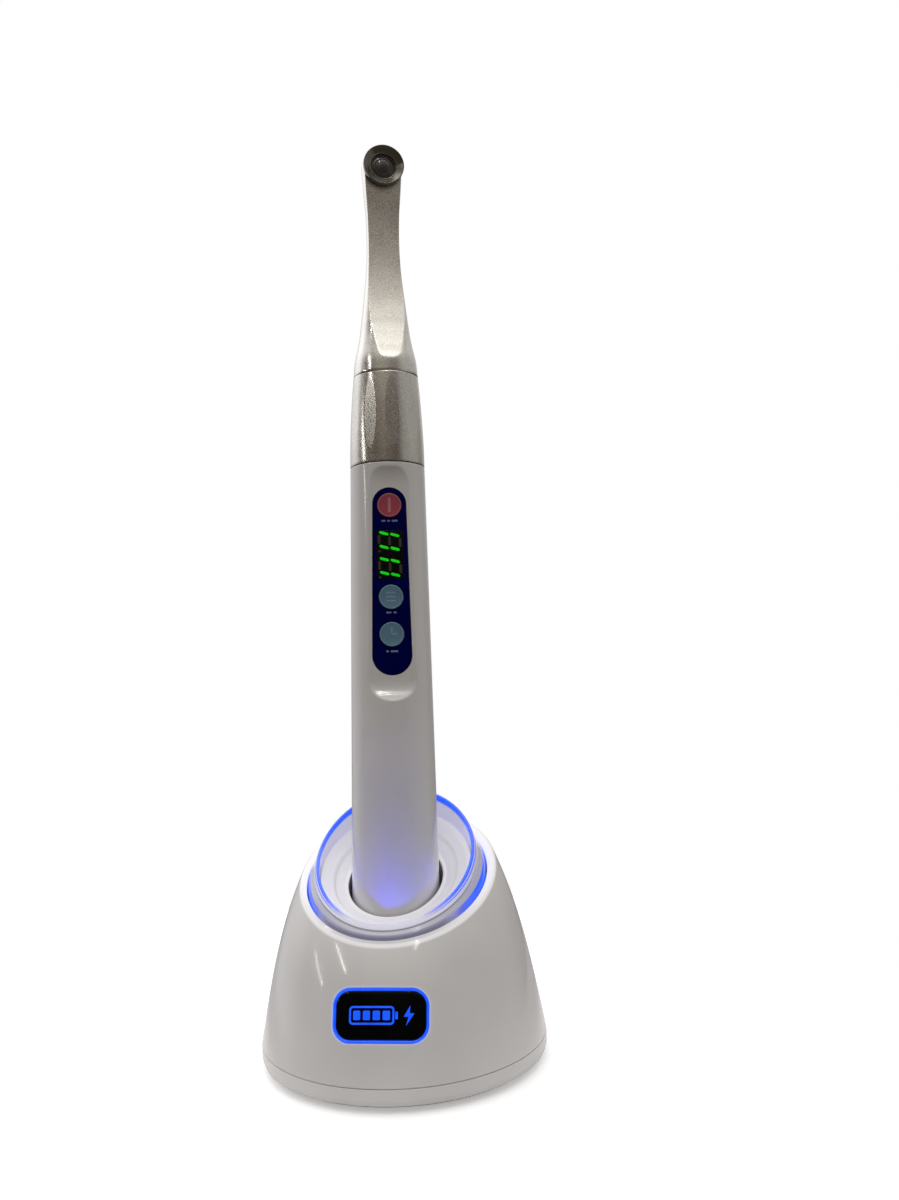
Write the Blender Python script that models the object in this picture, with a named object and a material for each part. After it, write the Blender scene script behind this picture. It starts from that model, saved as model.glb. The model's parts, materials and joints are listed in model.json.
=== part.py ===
"""Dental curing light standing in its charging base.

The base is round, with its front towards -Y and its resting plane at z = 0.
The handpiece leans back in the YZ plane. Its own frame has the origin where its
axis meets the resting plane, +Z along the axis and its front towards -Y.
"""
import math

import bmesh
import bpy
from mathutils import Matrix, Vector

# ---- driving dimensions, in metres ----------------------------------------------

GAP = 0.0003                       # clearance between neighbouring pieces
BASE_RADIUS = 0.042
BASE_SEGMENTS = 48
ROUND_SEGMENTS = 36
SMALL_SEGMENTS = 20

SEAM_HEIGHT = 0.0068               # parting line between bottom plate and dome
PAD_TOP = 0.0012                   # the pad stands proud of the plate's rim
PLATE_FLOOR = 0.0022
FOOT_INSET = 0.0022                # the rounded lower edge of the plate and of the tail cap
FOOT_RISE = 0.0024
EDGE_INSET = 0.0006
EDGE_RISE = 0.0009
TAIL_EDGE_INSET = 0.0008
TAIL_EDGE_RISE = 0.0007
PLATE_WALL = 0.0020
SHELL_WALL = 0.0020

LIP_RADIUS = 0.0291                # mouth of the dome, on a plane that rises to the back
LIP_CENTRE_Y = 0.0016
LIP_HEIGHT = 0.0540
LIP_SLOPE = math.tan(math.radians(24.7))
LIP_ROUNDING = 0.0004
LIP_INSET = 0.0006
MOUTH_RADIUS = 0.0266
MOUTH_CENTRE_Y = -0.0002
MOUTH_HEIGHT = 0.0539
MOUTH_SLOPE = math.tan(math.radians(23.7))
MOUTH_DEPTH = 0.0030
RING_OUTER = 0.0262                # clear ring: outer edge, then the edge round its top
RING_EDGE_HEIGHT = 0.0540
RING_BOTTOM_HEIGHT = 0.0500
RING_INNER = 0.0224
RING_CENTRE_Y = -0.0015
RING_CREST_WIDTH = 0.0007
RING_CREST_SHIFT = 0.0001
RING_TOP_HEIGHT = 0.0605
RING_TOP_SLOPE = math.tan(math.radians(32.5))
DOME_STATIONS = (0.0, 0.18, 0.36, 0.54, 0.7, 0.84, 0.94, 1.0)
DOME_INNER_STATIONS = (0.88, 0.66, 0.4, 0.0)

LEAN = math.radians(8.96)          # the handpiece leans back by this angle
AXIS_FOOT_Y = -0.01074             # where the handpiece's axis meets the resting plane
PEN_TURN = math.radians(12.0)      # the handpiece stands turned in its round socket
HEAD_TURN = math.radians(9.0)      # the head is turned further on the handpiece

SOCKET_RADIUS = 0.01375
SOCKET_FLOOR_RADIUS = 0.0133
SOCKET_WALL = 0.0013
SOCKET_FLOOR = 0.0197              # along the handpiece's axis
SOCKET_BOTTOM = 0.0180
DISH_RADIUS = 0.0221
DISH_HEIGHT = 0.0564
DISH_SLOPE = math.tan(math.radians(28.2))
DISH_THICKNESS = 0.0014
HOLE_HEIGHT = 0.0529
HOLE_SLOPE = math.tan(math.radians(24.5))
HOLE_LEAD_IN = 0.0025
HOLE_FLARE = 0.0002
HOLE_FLARE_DEPTH = 0.0008
HOLE_ROUNDING = 0.0010
DISH_SHIFT = 0.0004                # the dish's middle lies nearer the front than its rim
DISH_DROP = 0.0006

TAIL_END = 0.0200
TAIL_SEAM = 0.0262
TAIL_SPIGOT = 0.0020
BODY_TOP = 0.1761
TAIL_RADIUS = 0.0129
TAPER_START = 0.0450
BODY_TOP_RADIUS = 0.01125
BODY_WALL = 0.0015
UPPER_BORE = 0.0092
UPPER_BORE_START = 0.0980

RECESS_FRONT = 0.0098              # distance of the recess floor from the axis
RECESS_LOW = 0.1051
RECESS_HIGH = 0.1743
RECESS_HALF_WIDTH = 0.0070
BODY_CUT = 0.006                   # how far the recess and pocket cutters reach out
PANEL_LOW = 0.1130
PANEL_HIGH = 0.1684
PANEL_HALF_WIDTH_LOW = 0.00575
PANEL_HALF_WIDTH_HIGH = 0.0049
PANEL_THICKNESS = 0.0009
PANEL_SINK = 0.0001
BUTTON_RADIUS = 0.0036
BUTTON_PROUD = 0.00025
BUTTON_LENGTH = 0.0019
BUTTON_EDGE = 0.0004
BUTTON_EDGE_DEPTH = 0.0003
BUTTON_CROWN = 0.0001
BUTTON_CROWN_RADIUS = 0.0018
BUTTON_POSITIONS = {"power": 0.1632, "mode": 0.1359, "time": 0.1249}
DISPLAY_LOW = 0.1413
DISPLAY_HIGH = 0.1556
DISPLAY_WIDTH = 0.0081
DISPLAY_CORNER = 0.0006
PANEL_CUT = (-0.002, 0.003)        # how far the panel's opening cutters reach, back and front

SLEEVE_BOTTOM = BODY_TOP + GAP
SLEEVE_TOP = 0.2042
SLEEVE_TOP_RADIUS = 0.00985
SLEEVE_WALL = 0.0012

SLEEVE_CURVE = 1.9
SLEEVE_TOP_BORE = 0.0080
SLEEVE_TOP_WALL = 0.0015
SLEEVE_BORE_STATIONS = (0.1995, 0.1900, SLEEVE_BOTTOM)
COLLAR_BORE = 0.0070               # plastic collar that joins body and sleeve
COLLAR_RADIUS = 0.0089
COLLAR_LOW = 0.1700
COLLAR_HIGH = 0.1860
BUSH_RADIUS = 0.0083
BUSH_LOW = 0.1895
BUSH_HIGH = 0.2010
SPINDLE_CLEARANCE = 0.0053         # bore of the bush, the retaining ring and the head's socket
SPINDLE_RADIUS = 0.0050
SPINDLE_BORE = 0.0022
SPINDLE_LOW = 0.1875
SPINDLE_HIGH = 0.2152
SPINDLE_SOCKET_TOP = 0.2156
RETAINING_RING_RADIUS = 0.0068
RETAINING_RING_LOW = 0.1881
RETAINING_RING_HIGH = 0.1892
SEAL_RADIUS = 0.00575
SEAL_HEIGHT = 0.2025
SEAL_SECTION = 0.0004
SEAL_SIDES = 6

HEAD_BOTTOM = SLEEVE_TOP + GAP
HEAD_SECTION_POWER = 2.2           # how square the head's section is: 2 is an ellipse
HEAD_STATIONS = 18
HEAD_END_ANGLES = (22, 42, 58, 72)
ROD_RADIUS = 0.0015
ROD_CHANNEL_RADIUS = 0.0018
ROD_BEHIND = 0.0024                # the heat rod lies behind the axis
ROD_LOW = 0.2170
ROD_HIGH = 0.2655
ROD_CHANNEL_TOP = 0.2700
LENS_CENTRE = 0.2711               # along the axis
HEAD_RADIUS = 0.0063
HEAD_FACE = 0.0028                 # front of the head, measured from the axis
BEZEL_FRONT = 0.0046
BEZEL_RADIUS = 0.0062
BEZEL_EDGE = 0.0002
BEZEL_EDGE_DEPTH = 0.0003
BEZEL_CONE_WIDTH = 0.0004
BEZEL_CONE_HEIGHT = 0.0006
LENS_RADIUS = 0.0039
POCKET_RADIUS = 0.0049
POCKET_FLOOR = -0.0030
LED_BOARD_FACE = -0.0027
HEAD_LED_BOARD_THICKNESS = 0.0010
EMITTER_FACE = -0.0014
EMITTER_PROFILE = ((0.0015, 0.0), (0.0015, 0.0004), (0.0010, 0.0009), (0.0004, 0.0011))
LENS_EDGE = 0.0022
LENS_CROWN = ((0.8, 0.0029), (0.45, 0.0033), (0.15, 0.0034))

WINDOW_WIDTH = 0.0264
WINDOW_HEIGHT = 0.0142
WINDOW_CORNER = 0.0047
WINDOW_FRAME = 0.0009
WINDOW_RISE = 0.532                # how far up the dome's front the window sits

SCREW_CIRCLE = 0.0350
SCREW_BOSS_RADIUS = 0.0034
SCREW_BOSS_TOP = 0.0190
SCREW_BOSS_BORE = 0.0015
SCREW_BORE_TOP = 0.0160
SCREW_HEAD_WELL = 0.0029           # radius of the well that hides a screw's head
SCREW_HEAD_SEAT = 0.0027
SCREW_SHANK_HOLE = 0.0016
SCREW_HEAD_RADIUS = 0.0025
SCREW_HEAD_LOW = 0.0013
SCREW_HEAD_HIGH = 0.0024
SCREW_SHANK_RADIUS = 0.0012
SCREW_END = 0.0140
PAD_RADIUS = 0.0300
BALLAST_RADIUS = 0.0310
BALLAST_LOW = 0.0037
BALLAST_HIGH = 0.0066
CHARGING_BOARD = ((-0.021, -0.017, 0.0080), (0.021, 0.025, 0.0094))
LED_BOARD_THICKNESS = 0.0012
LED_BOARD_INSET = 0.0004
WINDOW_PIECE_OUTER = 0.0001        # depth of the window's pieces below the dome's face
WINDOW_FRAME_INNER = 0.0018
WINDOW_LENS_INNER = 0.0015
WINDOW_CUT = (-0.007, 0.004)       # how far the window's cutter reaches, in and out
WINDOW_BOARD = ((-0.0115, -0.0055, -0.0058), (0.0115, 0.0055, -0.0046))
JACK_HEIGHT = 0.0142
JACK_HALF_SIZE = 0.0045
JACK_BACK = 0.0285                 # the jack's body and nose, as distances behind the centre
JACK_FRONT = 0.0375
JACK_NOSE_RADIUS = 0.0040
JACK_NOSE_START = 0.0360
JACK_NOSE_END = 0.0408
JACK_BORE_RADIUS = 0.0029          # takes a standard 5.5 mm plug
JACK_BORE_START = 0.0310
JACK_PIN_RADIUS = 0.0010
JACK_PIN_END = 0.0395
INLET_RADIUS = 0.0044
PIN_OFFSET = 0.0040
PIN_HOLE_RADIUS = 0.0012
PIN_RADIUS = 0.0009
PIN_TIP_RADIUS = 0.0005
PIN_LOW = 0.0122
PIN_SHOULDER = 0.0202
PIN_TIP = 0.0207
HOLDER_HALF_WIDTH = 0.0075
HOLDER_HALF_DEPTH = 0.0035
HOLDER_LOW = 0.0135
CHARGE_PAD_RADIUS = 0.0018
CHARGE_PAD_HOLE = 0.0021
CHARGE_PAD_LOW = TAIL_END + 0.0010
CHARGE_PAD_HIGH = TAIL_END + 0.0019

CELL_RADIUS = 0.0092               # an 18 mm lithium cell in its wrap
CELL_LOW = 0.0293
CELL_HIGH = 0.0936
CELL_EDGE = 0.0004
CELL_TERMINAL_RADIUS = 0.0032
CELL_TERMINAL_TOP = 0.0945
CELL_CONTACT_RADIUS = 0.0060
CELL_CONTACT_LOW = TAIL_SEAM + 0.0023
CELL_CONTACT_HIGH = TAIL_SEAM + 0.0028
RETAINER_BORE = 0.0050
RETAINER_RADIUS = 0.0089
RETAINER_LOW = 0.0955
RETAINER_HIGH = 0.0975
LOWER_BORE_END = 0.0945            # the body's bore narrows between here and UPPER_BORE_START
BODY_STATIONS = (0.075, 0.105, 0.140)

BOARD_WIDTH = 0.0138               # blocks behind the panel: width, then distances from the axis
BOARD_LOW = 0.0990
BOARD_HIGH = 0.1690
BOARD_BACK = 0.0034
BOARD_FRONT = 0.0046
MODULE_BACK = 0.0049
DISPLAY_MODULE_WIDTH = 0.0074
DISPLAY_MODULE_FRONT = 0.0084
DISPLAY_MODULE_INSET = 0.0006
SWITCH_WIDTH = 0.0044
SWITCH_FRONT = 0.0070
PLUNGER_RADIUS = 0.0010
PLUNGER_TRAVEL_END = 0.0006
SOUNDER_RADIUS = 0.0042
SOUNDER_THICKNESS = 0.0032
SOUNDER_FRONT = -0.0001
SOUNDER_HEIGHT = 0.1060
CONNECTOR_RADIUS = 0.0030
CONNECTOR_LOW = 0.1725
CONNECTOR_HIGH = 0.1850

# the head along its axis: position, half-width, back, flat front
HEAD_LINE = (
    (0.2045, 0.00978, 0.00978, 0.0120),
    (0.2090, 0.00935, 0.00935, 0.0093),
    (0.2134, 0.00842, 0.00850, 0.0076),
    (0.2171, 0.00772, 0.00785, 0.0062),
    (0.2211, 0.00722, 0.00735, 0.0049),
    (0.2291, 0.00630, 0.00650, 0.0033),
    (0.2381, 0.00538, 0.00575, 0.0023),
    (0.2471, 0.00502, 0.00540, 0.0018),
    (0.2561, 0.00522, 0.00540, 0.0019),
    (0.2641, 0.00582, 0.00555, 0.0024),
    (0.2711, 0.00630, 0.00560, 0.0028),
)


# colour, roughness, metallic
PALETTE = {
    "white gloss plastic": ((0.75, 0.74, 0.73), 0.15, 0.0),
    "clear acrylic": ((0.75, 0.82, 1.0), 0.08, 0.0),
    "lit light guide": ((0.05, 0.20, 1.0), 0.3, 0.0),
    "black window": ((0.005, 0.005, 0.008), 0.06, 0.0),
    "black plastic": ((0.02, 0.02, 0.02), 0.4, 0.0),
    "dark rubber": ((0.03, 0.03, 0.032), 0.75, 0.0),
    "green board": ((0.02, 0.18, 0.07), 0.5, 0.0),
    "navy panel": ((0.004, 0.006, 0.05), 0.35, 0.0),
    "smoked window": ((0.008, 0.010, 0.009), 0.1, 0.0),
    "red button": ((0.50, 0.085, 0.125), 0.4, 0.0),
    "grey blue button": ((0.16, 0.31, 0.43), 0.4, 0.0),
    "cell wrap": ((0.05, 0.15, 0.45), 0.4, 0.0),
    "clear lens": ((0.3, 0.3, 0.3), 0.05, 0.0),
    "emitter": ((0.8, 0.7, 0.25), 0.4, 0.0),
    "satin metal": ((0.70, 0.69, 0.66), 0.3, 1.0),
    "dark steel": ((0.22, 0.21, 0.20), 0.25, 1.0),
    "plated steel": ((0.55, 0.56, 0.58), 0.4, 1.0),
    "bearing bronze": ((0.60, 0.42, 0.20), 0.35, 1.0),
    "gold plating": ((0.83, 0.62, 0.28), 0.25, 1.0),
    "copper": ((0.72, 0.38, 0.25), 0.3, 1.0),
}


# ---- small helpers ---------------------------------------------------------------

def clear_scene():
    for item in list(bpy.data.objects):
        bpy.data.objects.remove(item, do_unlink=True)


def material(name):
    shade = bpy.data.materials.get(name)
    if shade is None:
        colour, roughness, metallic = PALETTE[name]
        shade = bpy.data.materials.new(name)
        shade.use_nodes = True
        shader = shade.node_tree.nodes["Principled BSDF"]
        shader.inputs["Base Color"].default_value = (*colour, 1.0)
        shader.inputs["Roughness"].default_value = roughness
        shader.inputs["Metallic"].default_value = metallic
    return shade


def mesh_object(name, bm, shade, parent=None):
    """Turn a bmesh into an object with outward faces and smooth round sides."""
    bmesh.ops.recalc_face_normals(bm, faces=bm.faces)
    mesh = bpy.data.meshes.new(name)
    bm.to_mesh(mesh)
    bm.free()
    mesh.shade_smooth()
    mesh.set_sharp_from_angle(angle=math.radians(35))
    mesh.materials.append(shade)
    item = bpy.data.objects.new(name, mesh)
    bpy.context.collection.objects.link(item)
    if parent is not None:
        item.parent = parent
    return item


def loft(rings, closed=False):
    """Skin equal rings in order; closed joins the last to the first, else both ends are capped."""
    bm = bmesh.new()
    rows = [[bm.verts.new(point) for point in ring] for ring in rings]
    pairs = list(zip(rows, rows[1:]))
    if closed:
        pairs.append((rows[-1], rows[0]))
    for lower, upper in pairs:
        count = len(lower)
        for k in range(count):
            after = (k + 1) % count
            bm.faces.new((lower[k], lower[after], upper[after], upper[k]))
    if not closed:
        bm.faces.new(rows[0][::-1])
        bm.faces.new(rows[-1])
    return bm


def circle(radius, height, segments):
    step = 2 * math.pi / segments
    return [Vector((radius * math.cos(k * step), radius * math.sin(k * step), height))
            for k in range(segments)]


def turned(name, profile, shade, parent=None, segments=ROUND_SEGMENTS, closed=False):
    """A turned piece: profile is a list of (radius, height), closed where it has a bore."""
    rings = [circle(radius, height, segments) for radius, height in profile]
    return mesh_object(name, loft(rings, closed), shade, parent)


def tube(name, inner, outer, low, high, shade, parent=None, segments=ROUND_SEGMENTS):
    profile = [(inner, low), (outer, low), (outer, high), (inner, high)]
    return turned(name, profile, shade, parent, segments, closed=True)


def rod(name, radius, low, high, shade, parent=None, segments=SMALL_SEGMENTS, bevel=0.0):
    profile = [(radius, low), (radius, high)]
    if bevel:
        profile = [(radius - bevel, low), (radius, low + bevel),
                   (radius, high - bevel), (radius - bevel, high)]
    return turned(name, profile, shade, parent, segments)


def block(name, low, high, shade, parent=None):
    bm = bmesh.new()
    bmesh.ops.create_cube(bm, size=1.0)
    low = Vector(low)
    high = Vector(high)
    size = high - low
    bmesh.ops.transform(bm, matrix=Matrix.Translation((low + high) / 2) @ Matrix.Diagonal((*size, 1.0)),
                        verts=bm.verts)
    return mesh_object(name, bm, shade, parent)


def cutter(item):
    item.hide_render = True
    item.display_type = "WIRE"
    return item


def boolean(item, other, operation="DIFFERENCE"):
    modifier = item.modifiers.new(operation.title(), "BOOLEAN")
    modifier.operation = operation
    modifier.solver = "EXACT"
    modifier.object = cutter(other)


def frame_empty(name, matrix, parent=None):
    item = bpy.data.objects.new(name, None)
    bpy.context.collection.objects.link(item)
    item.parent = parent
    item.matrix_local = matrix
    return item


def facing_front(distance, height):
    """A place on the handpiece whose +Z points out of its front."""
    return Matrix.Translation((0.0, -distance, height)) @ Matrix.Rotation(math.radians(90), 4, "X")


def rounded_rectangle(width, height, corner, steps=5):
    points = []
    for corner_index, (sx, sy) in enumerate(((1, 1), (-1, 1), (-1, -1), (1, -1))):
        centre = Vector((sx * (width / 2 - corner), sy * (height / 2 - corner)))
        for k in range(steps + 1):
            angle = math.radians(90 * (corner_index + k / steps))
            points.append(centre + Vector((corner * math.cos(angle), corner * math.sin(angle))))
    return points


def stadium(low, high, radius_low, radius_high, steps=10):
    """Outline with round ends between two heights; the ends may differ in radius."""
    points = []
    for k in range(steps + 1):
        angle = math.pi * k / steps
        points.append(Vector((radius_high * math.cos(angle),
                              high - radius_high + radius_high * math.sin(angle))))
    for k in range(steps + 1):
        angle = math.pi * (1 + k / steps)
        points.append(Vector((radius_low * math.cos(angle),
                              low + radius_low + radius_low * math.sin(angle))))
    return points


def prism(outline, low, high):
    return loft([[Vector((p.x, p.y, level)) for p in outline] for level in (low, high)])


# ---- charging base ---------------------------------------------------------------

def slanted_ring(radius, centre_y, height, slope, segments=BASE_SEGMENTS):
    """Round in plan, on a plane that rises towards the back."""
    step = 2 * math.pi / segments
    return [Vector((radius * math.cos(k * step),
                    centre_y + radius * math.sin(k * step),
                    height + radius * math.sin(k * step) * slope)) for k in range(segments)]


def dome_point(angle, rise, inset=0.0):
    """A point of the dome: rise runs from 0 at the parting line to 1 at the lip."""
    bottom = SEAM_HEIGHT + GAP
    draw_in = 0.68 * rise + 0.32 * rise ** 3.6
    radius = BASE_RADIUS + (LIP_RADIUS - BASE_RADIUS) * draw_in - inset
    lip = LIP_HEIGHT + LIP_RADIUS * math.sin(angle) * LIP_SLOPE
    return Vector((radius * math.cos(angle),
                   LIP_CENTRE_Y * draw_in + radius * math.sin(angle),
                   bottom + (lip - bottom) * rise))


def dome_ring(rise, inset=0.0):
    step = 2 * math.pi / BASE_SEGMENTS
    return [dome_point(k * step, rise, inset) for k in range(BASE_SEGMENTS)]


def mouth_ring(radius, height, segments=BASE_SEGMENTS, centre_y=MOUTH_CENTRE_Y):
    """A ring on a plane parallel to the mouth's edge, at this height on the mouth's own centre."""
    return slanted_ring(radius, centre_y, height + (centre_y - MOUTH_CENTRE_Y) * MOUTH_SLOPE,
                        MOUTH_SLOPE, segments)


def window_matrix():
    """+Z out of the dome at the window, +Y up along its face."""
    front = math.radians(-90)
    centre = dome_point(front, WINDOW_RISE)
    step = dome_point(front, WINDOW_RISE + 0.1) - dome_point(front, WINDOW_RISE - 0.1)
    tilt = math.atan2(step.y, step.z)
    return Matrix.Translation(centre) @ Matrix.Rotation(math.radians(90) - tilt, 4, "X")


def window_prism(name, shrink, shade):
    outline = rounded_rectangle(WINDOW_WIDTH - 2 * shrink, WINDOW_HEIGHT - 2 * shrink,
                                WINDOW_CORNER - shrink)
    item = mesh_object(name, prism(outline, *WINDOW_CUT), shade)
    item.matrix_world = window_matrix()
    return cutter(item)


def dome_patch(name, outer_inset, inner_inset, shade):
    """A thick patch of the dome's front, for the pieces that sit in its window."""
    angles = [math.radians(-90 + 26 * (k / 8 - 1)) for k in range(17)]
    rises = [0.18 + 0.62 * k / 5 for k in range(6)]
    rings = []
    for rise in rises:
        outer = [dome_point(angle, rise, outer_inset) for angle in angles]
        inner = [dome_point(angle, rise, inner_inset) for angle in reversed(angles)]
        rings.append(outer + inner)
    return mesh_object(name, loft(rings), shade)


def screw_places():
    for k in range(4):
        angle = math.radians(45 + 90 * k)
        yield Vector((SCREW_CIRCLE * math.cos(angle), SCREW_CIRCLE * math.sin(angle), 0.0))


def facing_back():
    """The jack's place: +Z towards the back of the base."""
    return Matrix.Translation((0.0, 0.0, JACK_HEIGHT)) @ Matrix.Rotation(math.radians(-90), 4, "X")


def base_shell(white):
    rings = [dome_ring(rise) for rise in DOME_STATIONS]
    rings.append(slanted_ring(LIP_RADIUS - LIP_INSET, LIP_CENTRE_Y, LIP_HEIGHT + LIP_ROUNDING, LIP_SLOPE))
    rings.append(mouth_ring(MOUTH_RADIUS, MOUTH_HEIGHT))
    rings.append(mouth_ring(MOUTH_RADIUS, MOUTH_HEIGHT - MOUTH_DEPTH))
    rings.extend(dome_ring(rise, SHELL_WALL) for rise in DOME_INNER_STATIONS)
    shell = mesh_object("base_shell", loft(rings, closed=True), white)
    for k, place in enumerate(screw_places()):
        boss = rod(f"boss_{k}", SCREW_BOSS_RADIUS, SEAM_HEIGHT + 2 * GAP, SCREW_BOSS_TOP, white, segments=16)
        boss.location = place
        boolean(shell, boss, "UNION")
    for k, place in enumerate(screw_places()):
        hole = rod(f"boss_hole_{k}", SCREW_BOSS_BORE, 0.0, SCREW_BORE_TOP, white, segments=16)
        hole.location = place
        boolean(shell, hole)
    boolean(shell, window_prism("window_cut", -GAP, white))
    inlet = rod("inlet_cut", INLET_RADIUS, JACK_BORE_START, BASE_RADIUS + SHELL_WALL, white)
    inlet.matrix_world = facing_back()
    boolean(shell, inlet)
    return shell


def base_plate(white):
    floor_low = PAD_TOP
    floor_high = floor_low + PLATE_FLOOR
    wall = BASE_RADIUS - PLATE_WALL
    profile = [(BASE_RADIUS - FOOT_INSET, floor_low), (BASE_RADIUS - EDGE_INSET, floor_low + EDGE_RISE),
               (BASE_RADIUS, floor_low + FOOT_RISE), (BASE_RADIUS, SEAM_HEIGHT),
               (wall, SEAM_HEIGHT), (wall, floor_high)]
    plate = turned("base_plate", profile, white, segments=BASE_SEGMENTS)
    for k, place in enumerate(screw_places()):
        well = [(SCREW_HEAD_WELL, 0.0), (SCREW_HEAD_WELL, SCREW_HEAD_SEAT),
                (SCREW_SHANK_HOLE, SCREW_HEAD_SEAT), (SCREW_SHANK_HOLE, SEAM_HEIGHT)]
        hole = turned(f"plate_hole_{k}", well, white, segments=16)
        hole.location = place
        boolean(plate, hole)
    recess = rod("pad_recess", PAD_RADIUS + GAP, 0.0, PAD_TOP + GAP, white, segments=BASE_SEGMENTS)
    boolean(plate, recess)


def base_bottom_pieces():
    rubber = material("dark rubber")
    steel = material("plated steel")
    board = material("green board")
    rod("foot_pad", PAD_RADIUS, 0.0, PAD_TOP, rubber, segments=BASE_SEGMENTS)
    rod("ballast_plate", BALLAST_RADIUS, BALLAST_LOW, BALLAST_HIGH, steel, segments=24)
    for k, place in enumerate(screw_places()):
        screw = turned(f"case_screw_{k + 1}", [(SCREW_HEAD_RADIUS, SCREW_HEAD_LOW),
                                               (SCREW_HEAD_RADIUS, SCREW_HEAD_HIGH),
                                               (SCREW_SHANK_RADIUS, SCREW_HEAD_HIGH),
                                               (SCREW_SHANK_RADIUS, SCREW_END)], steel, segments=12)
        screw.location = place
    block("charging_board", *CHARGING_BOARD, board)


def socket_ring(radius, height, slope, segments=BASE_SEGMENTS):
    """A ring of the socket's tube, cut by a plane that rises to the back."""
    across = Vector((0.0, math.cos(LEAN), -math.sin(LEAN)))
    along = Vector((0.0, math.sin(LEAN), math.cos(LEAN)))
    foot = Vector((0.0, AXIS_FOOT_Y, 0.0))
    centre_y = AXIS_FOOT_Y + height * math.tan(LEAN)
    points = []
    for k in range(segments):
        angle = 2 * math.pi * k / segments
        start = foot + across * (radius * math.sin(angle)) + Vector((radius * math.cos(angle), 0.0, 0.0))
        run = (height + (start.y - centre_y) * slope - start.z) / (along.z - along.y * slope)
        points.append(start + along * run)
    return points


def square_ring(radius, position, segments=BASE_SEGMENTS):
    """A ring of the socket's tube, square to the handpiece's axis."""
    return [pen_matrix() @ point for point in circle(radius, position, segments)]


def pen_matrix():
    return Matrix.Translation((0.0, AXIS_FOOT_Y, 0.0)) @ Matrix.Rotation(-LEAN, 4, "X")


def socket_cup(white):
    outer = SOCKET_RADIUS + SOCKET_WALL
    middle = (DISH_RADIUS + SOCKET_RADIUS) / 2
    middle_y = RING_CENTRE_Y - DISH_SHIFT
    middle_height = (DISH_HEIGHT + HOLE_HEIGHT) / 2
    middle_slope = (DISH_SLOPE + HOLE_SLOPE) / 2
    rings = [
        square_ring(SOCKET_FLOOR_RADIUS, SOCKET_FLOOR),
        socket_ring(SOCKET_RADIUS, HOLE_HEIGHT - HOLE_LEAD_IN, HOLE_SLOPE),
        socket_ring(SOCKET_RADIUS + HOLE_FLARE, HOLE_HEIGHT - HOLE_FLARE_DEPTH, HOLE_SLOPE),
        socket_ring(SOCKET_RADIUS + HOLE_ROUNDING, HOLE_HEIGHT, HOLE_SLOPE),
        slanted_ring(middle, middle_y, middle_height, middle_slope),
        slanted_ring(DISH_RADIUS, RING_CENTRE_Y, DISH_HEIGHT, DISH_SLOPE),
        slanted_ring(DISH_RADIUS, RING_CENTRE_Y, DISH_HEIGHT - DISH_THICKNESS, DISH_SLOPE),
        slanted_ring(middle, middle_y, middle_height - DISH_THICKNESS, middle_slope),
        socket_ring(outer, HOLE_HEIGHT - DISH_THICKNESS - DISH_DROP, HOLE_SLOPE),
        square_ring(outer, SOCKET_BOTTOM),
    ]
    cup = mesh_object("socket_cup", loft(rings), white)
    for side in (-1, 1):
        hole = rod(f"pin_hole_{side}", PIN_HOLE_RADIUS, HOLDER_LOW, TAIL_SEAM, white, segments=16)
        hole.matrix_world = pen_matrix() @ Matrix.Translation((side * PIN_OFFSET, 0.0, 0.0))
        boolean(cup, hole)


def light_ring():
    acrylic = material("clear acrylic")
    rings = [
        mouth_ring(RING_OUTER, RING_BOTTOM_HEIGHT),
        mouth_ring(RING_OUTER, RING_EDGE_HEIGHT),
        slanted_ring(RING_INNER + RING_CREST_WIDTH, RING_CENTRE_Y + RING_CREST_SHIFT, RING_TOP_HEIGHT,
                     RING_TOP_SLOPE),
        slanted_ring(RING_INNER, RING_CENTRE_Y, RING_TOP_HEIGHT, RING_TOP_SLOPE),
        mouth_ring(RING_INNER, RING_BOTTOM_HEIGHT, centre_y=RING_CENTRE_Y),
    ]
    mesh_object("light_ring", loft(rings, closed=True), acrylic)


def ring_led_board():
    board = material("green board")
    top = RING_BOTTOM_HEIGHT - GAP
    low = top - LED_BOARD_THICKNESS
    outer = RING_OUTER - LED_BOARD_INSET
    inner = RING_INNER + LED_BOARD_INSET
    segments = 32
    rings = [
        mouth_ring(outer, low, segments),
        mouth_ring(outer, top, segments),
        mouth_ring(inner, top, segments, RING_CENTRE_Y),
        mouth_ring(inner, low, segments, RING_CENTRE_Y),
    ]
    mesh_object("ring_led_board", loft(rings, closed=True), board)


def window_pieces():
    glow = material("lit light guide")
    black = material("black window")
    board = material("green board")
    frame = dome_patch("window_light_frame", WINDOW_PIECE_OUTER, WINDOW_FRAME_INNER, glow)
    boolean(frame, window_prism("frame_outer", 0.0, glow), "INTERSECT")
    boolean(frame, window_prism("frame_inner", WINDOW_FRAME, glow))
    lens = dome_patch("window_lens", WINDOW_PIECE_OUTER, WINDOW_LENS_INNER, black)
    boolean(lens, window_prism("lens_outline", WINDOW_FRAME + GAP, black), "INTERSECT")
    panel = block("window_led_board", *WINDOW_BOARD, board)
    panel.matrix_world = window_matrix()


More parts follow.
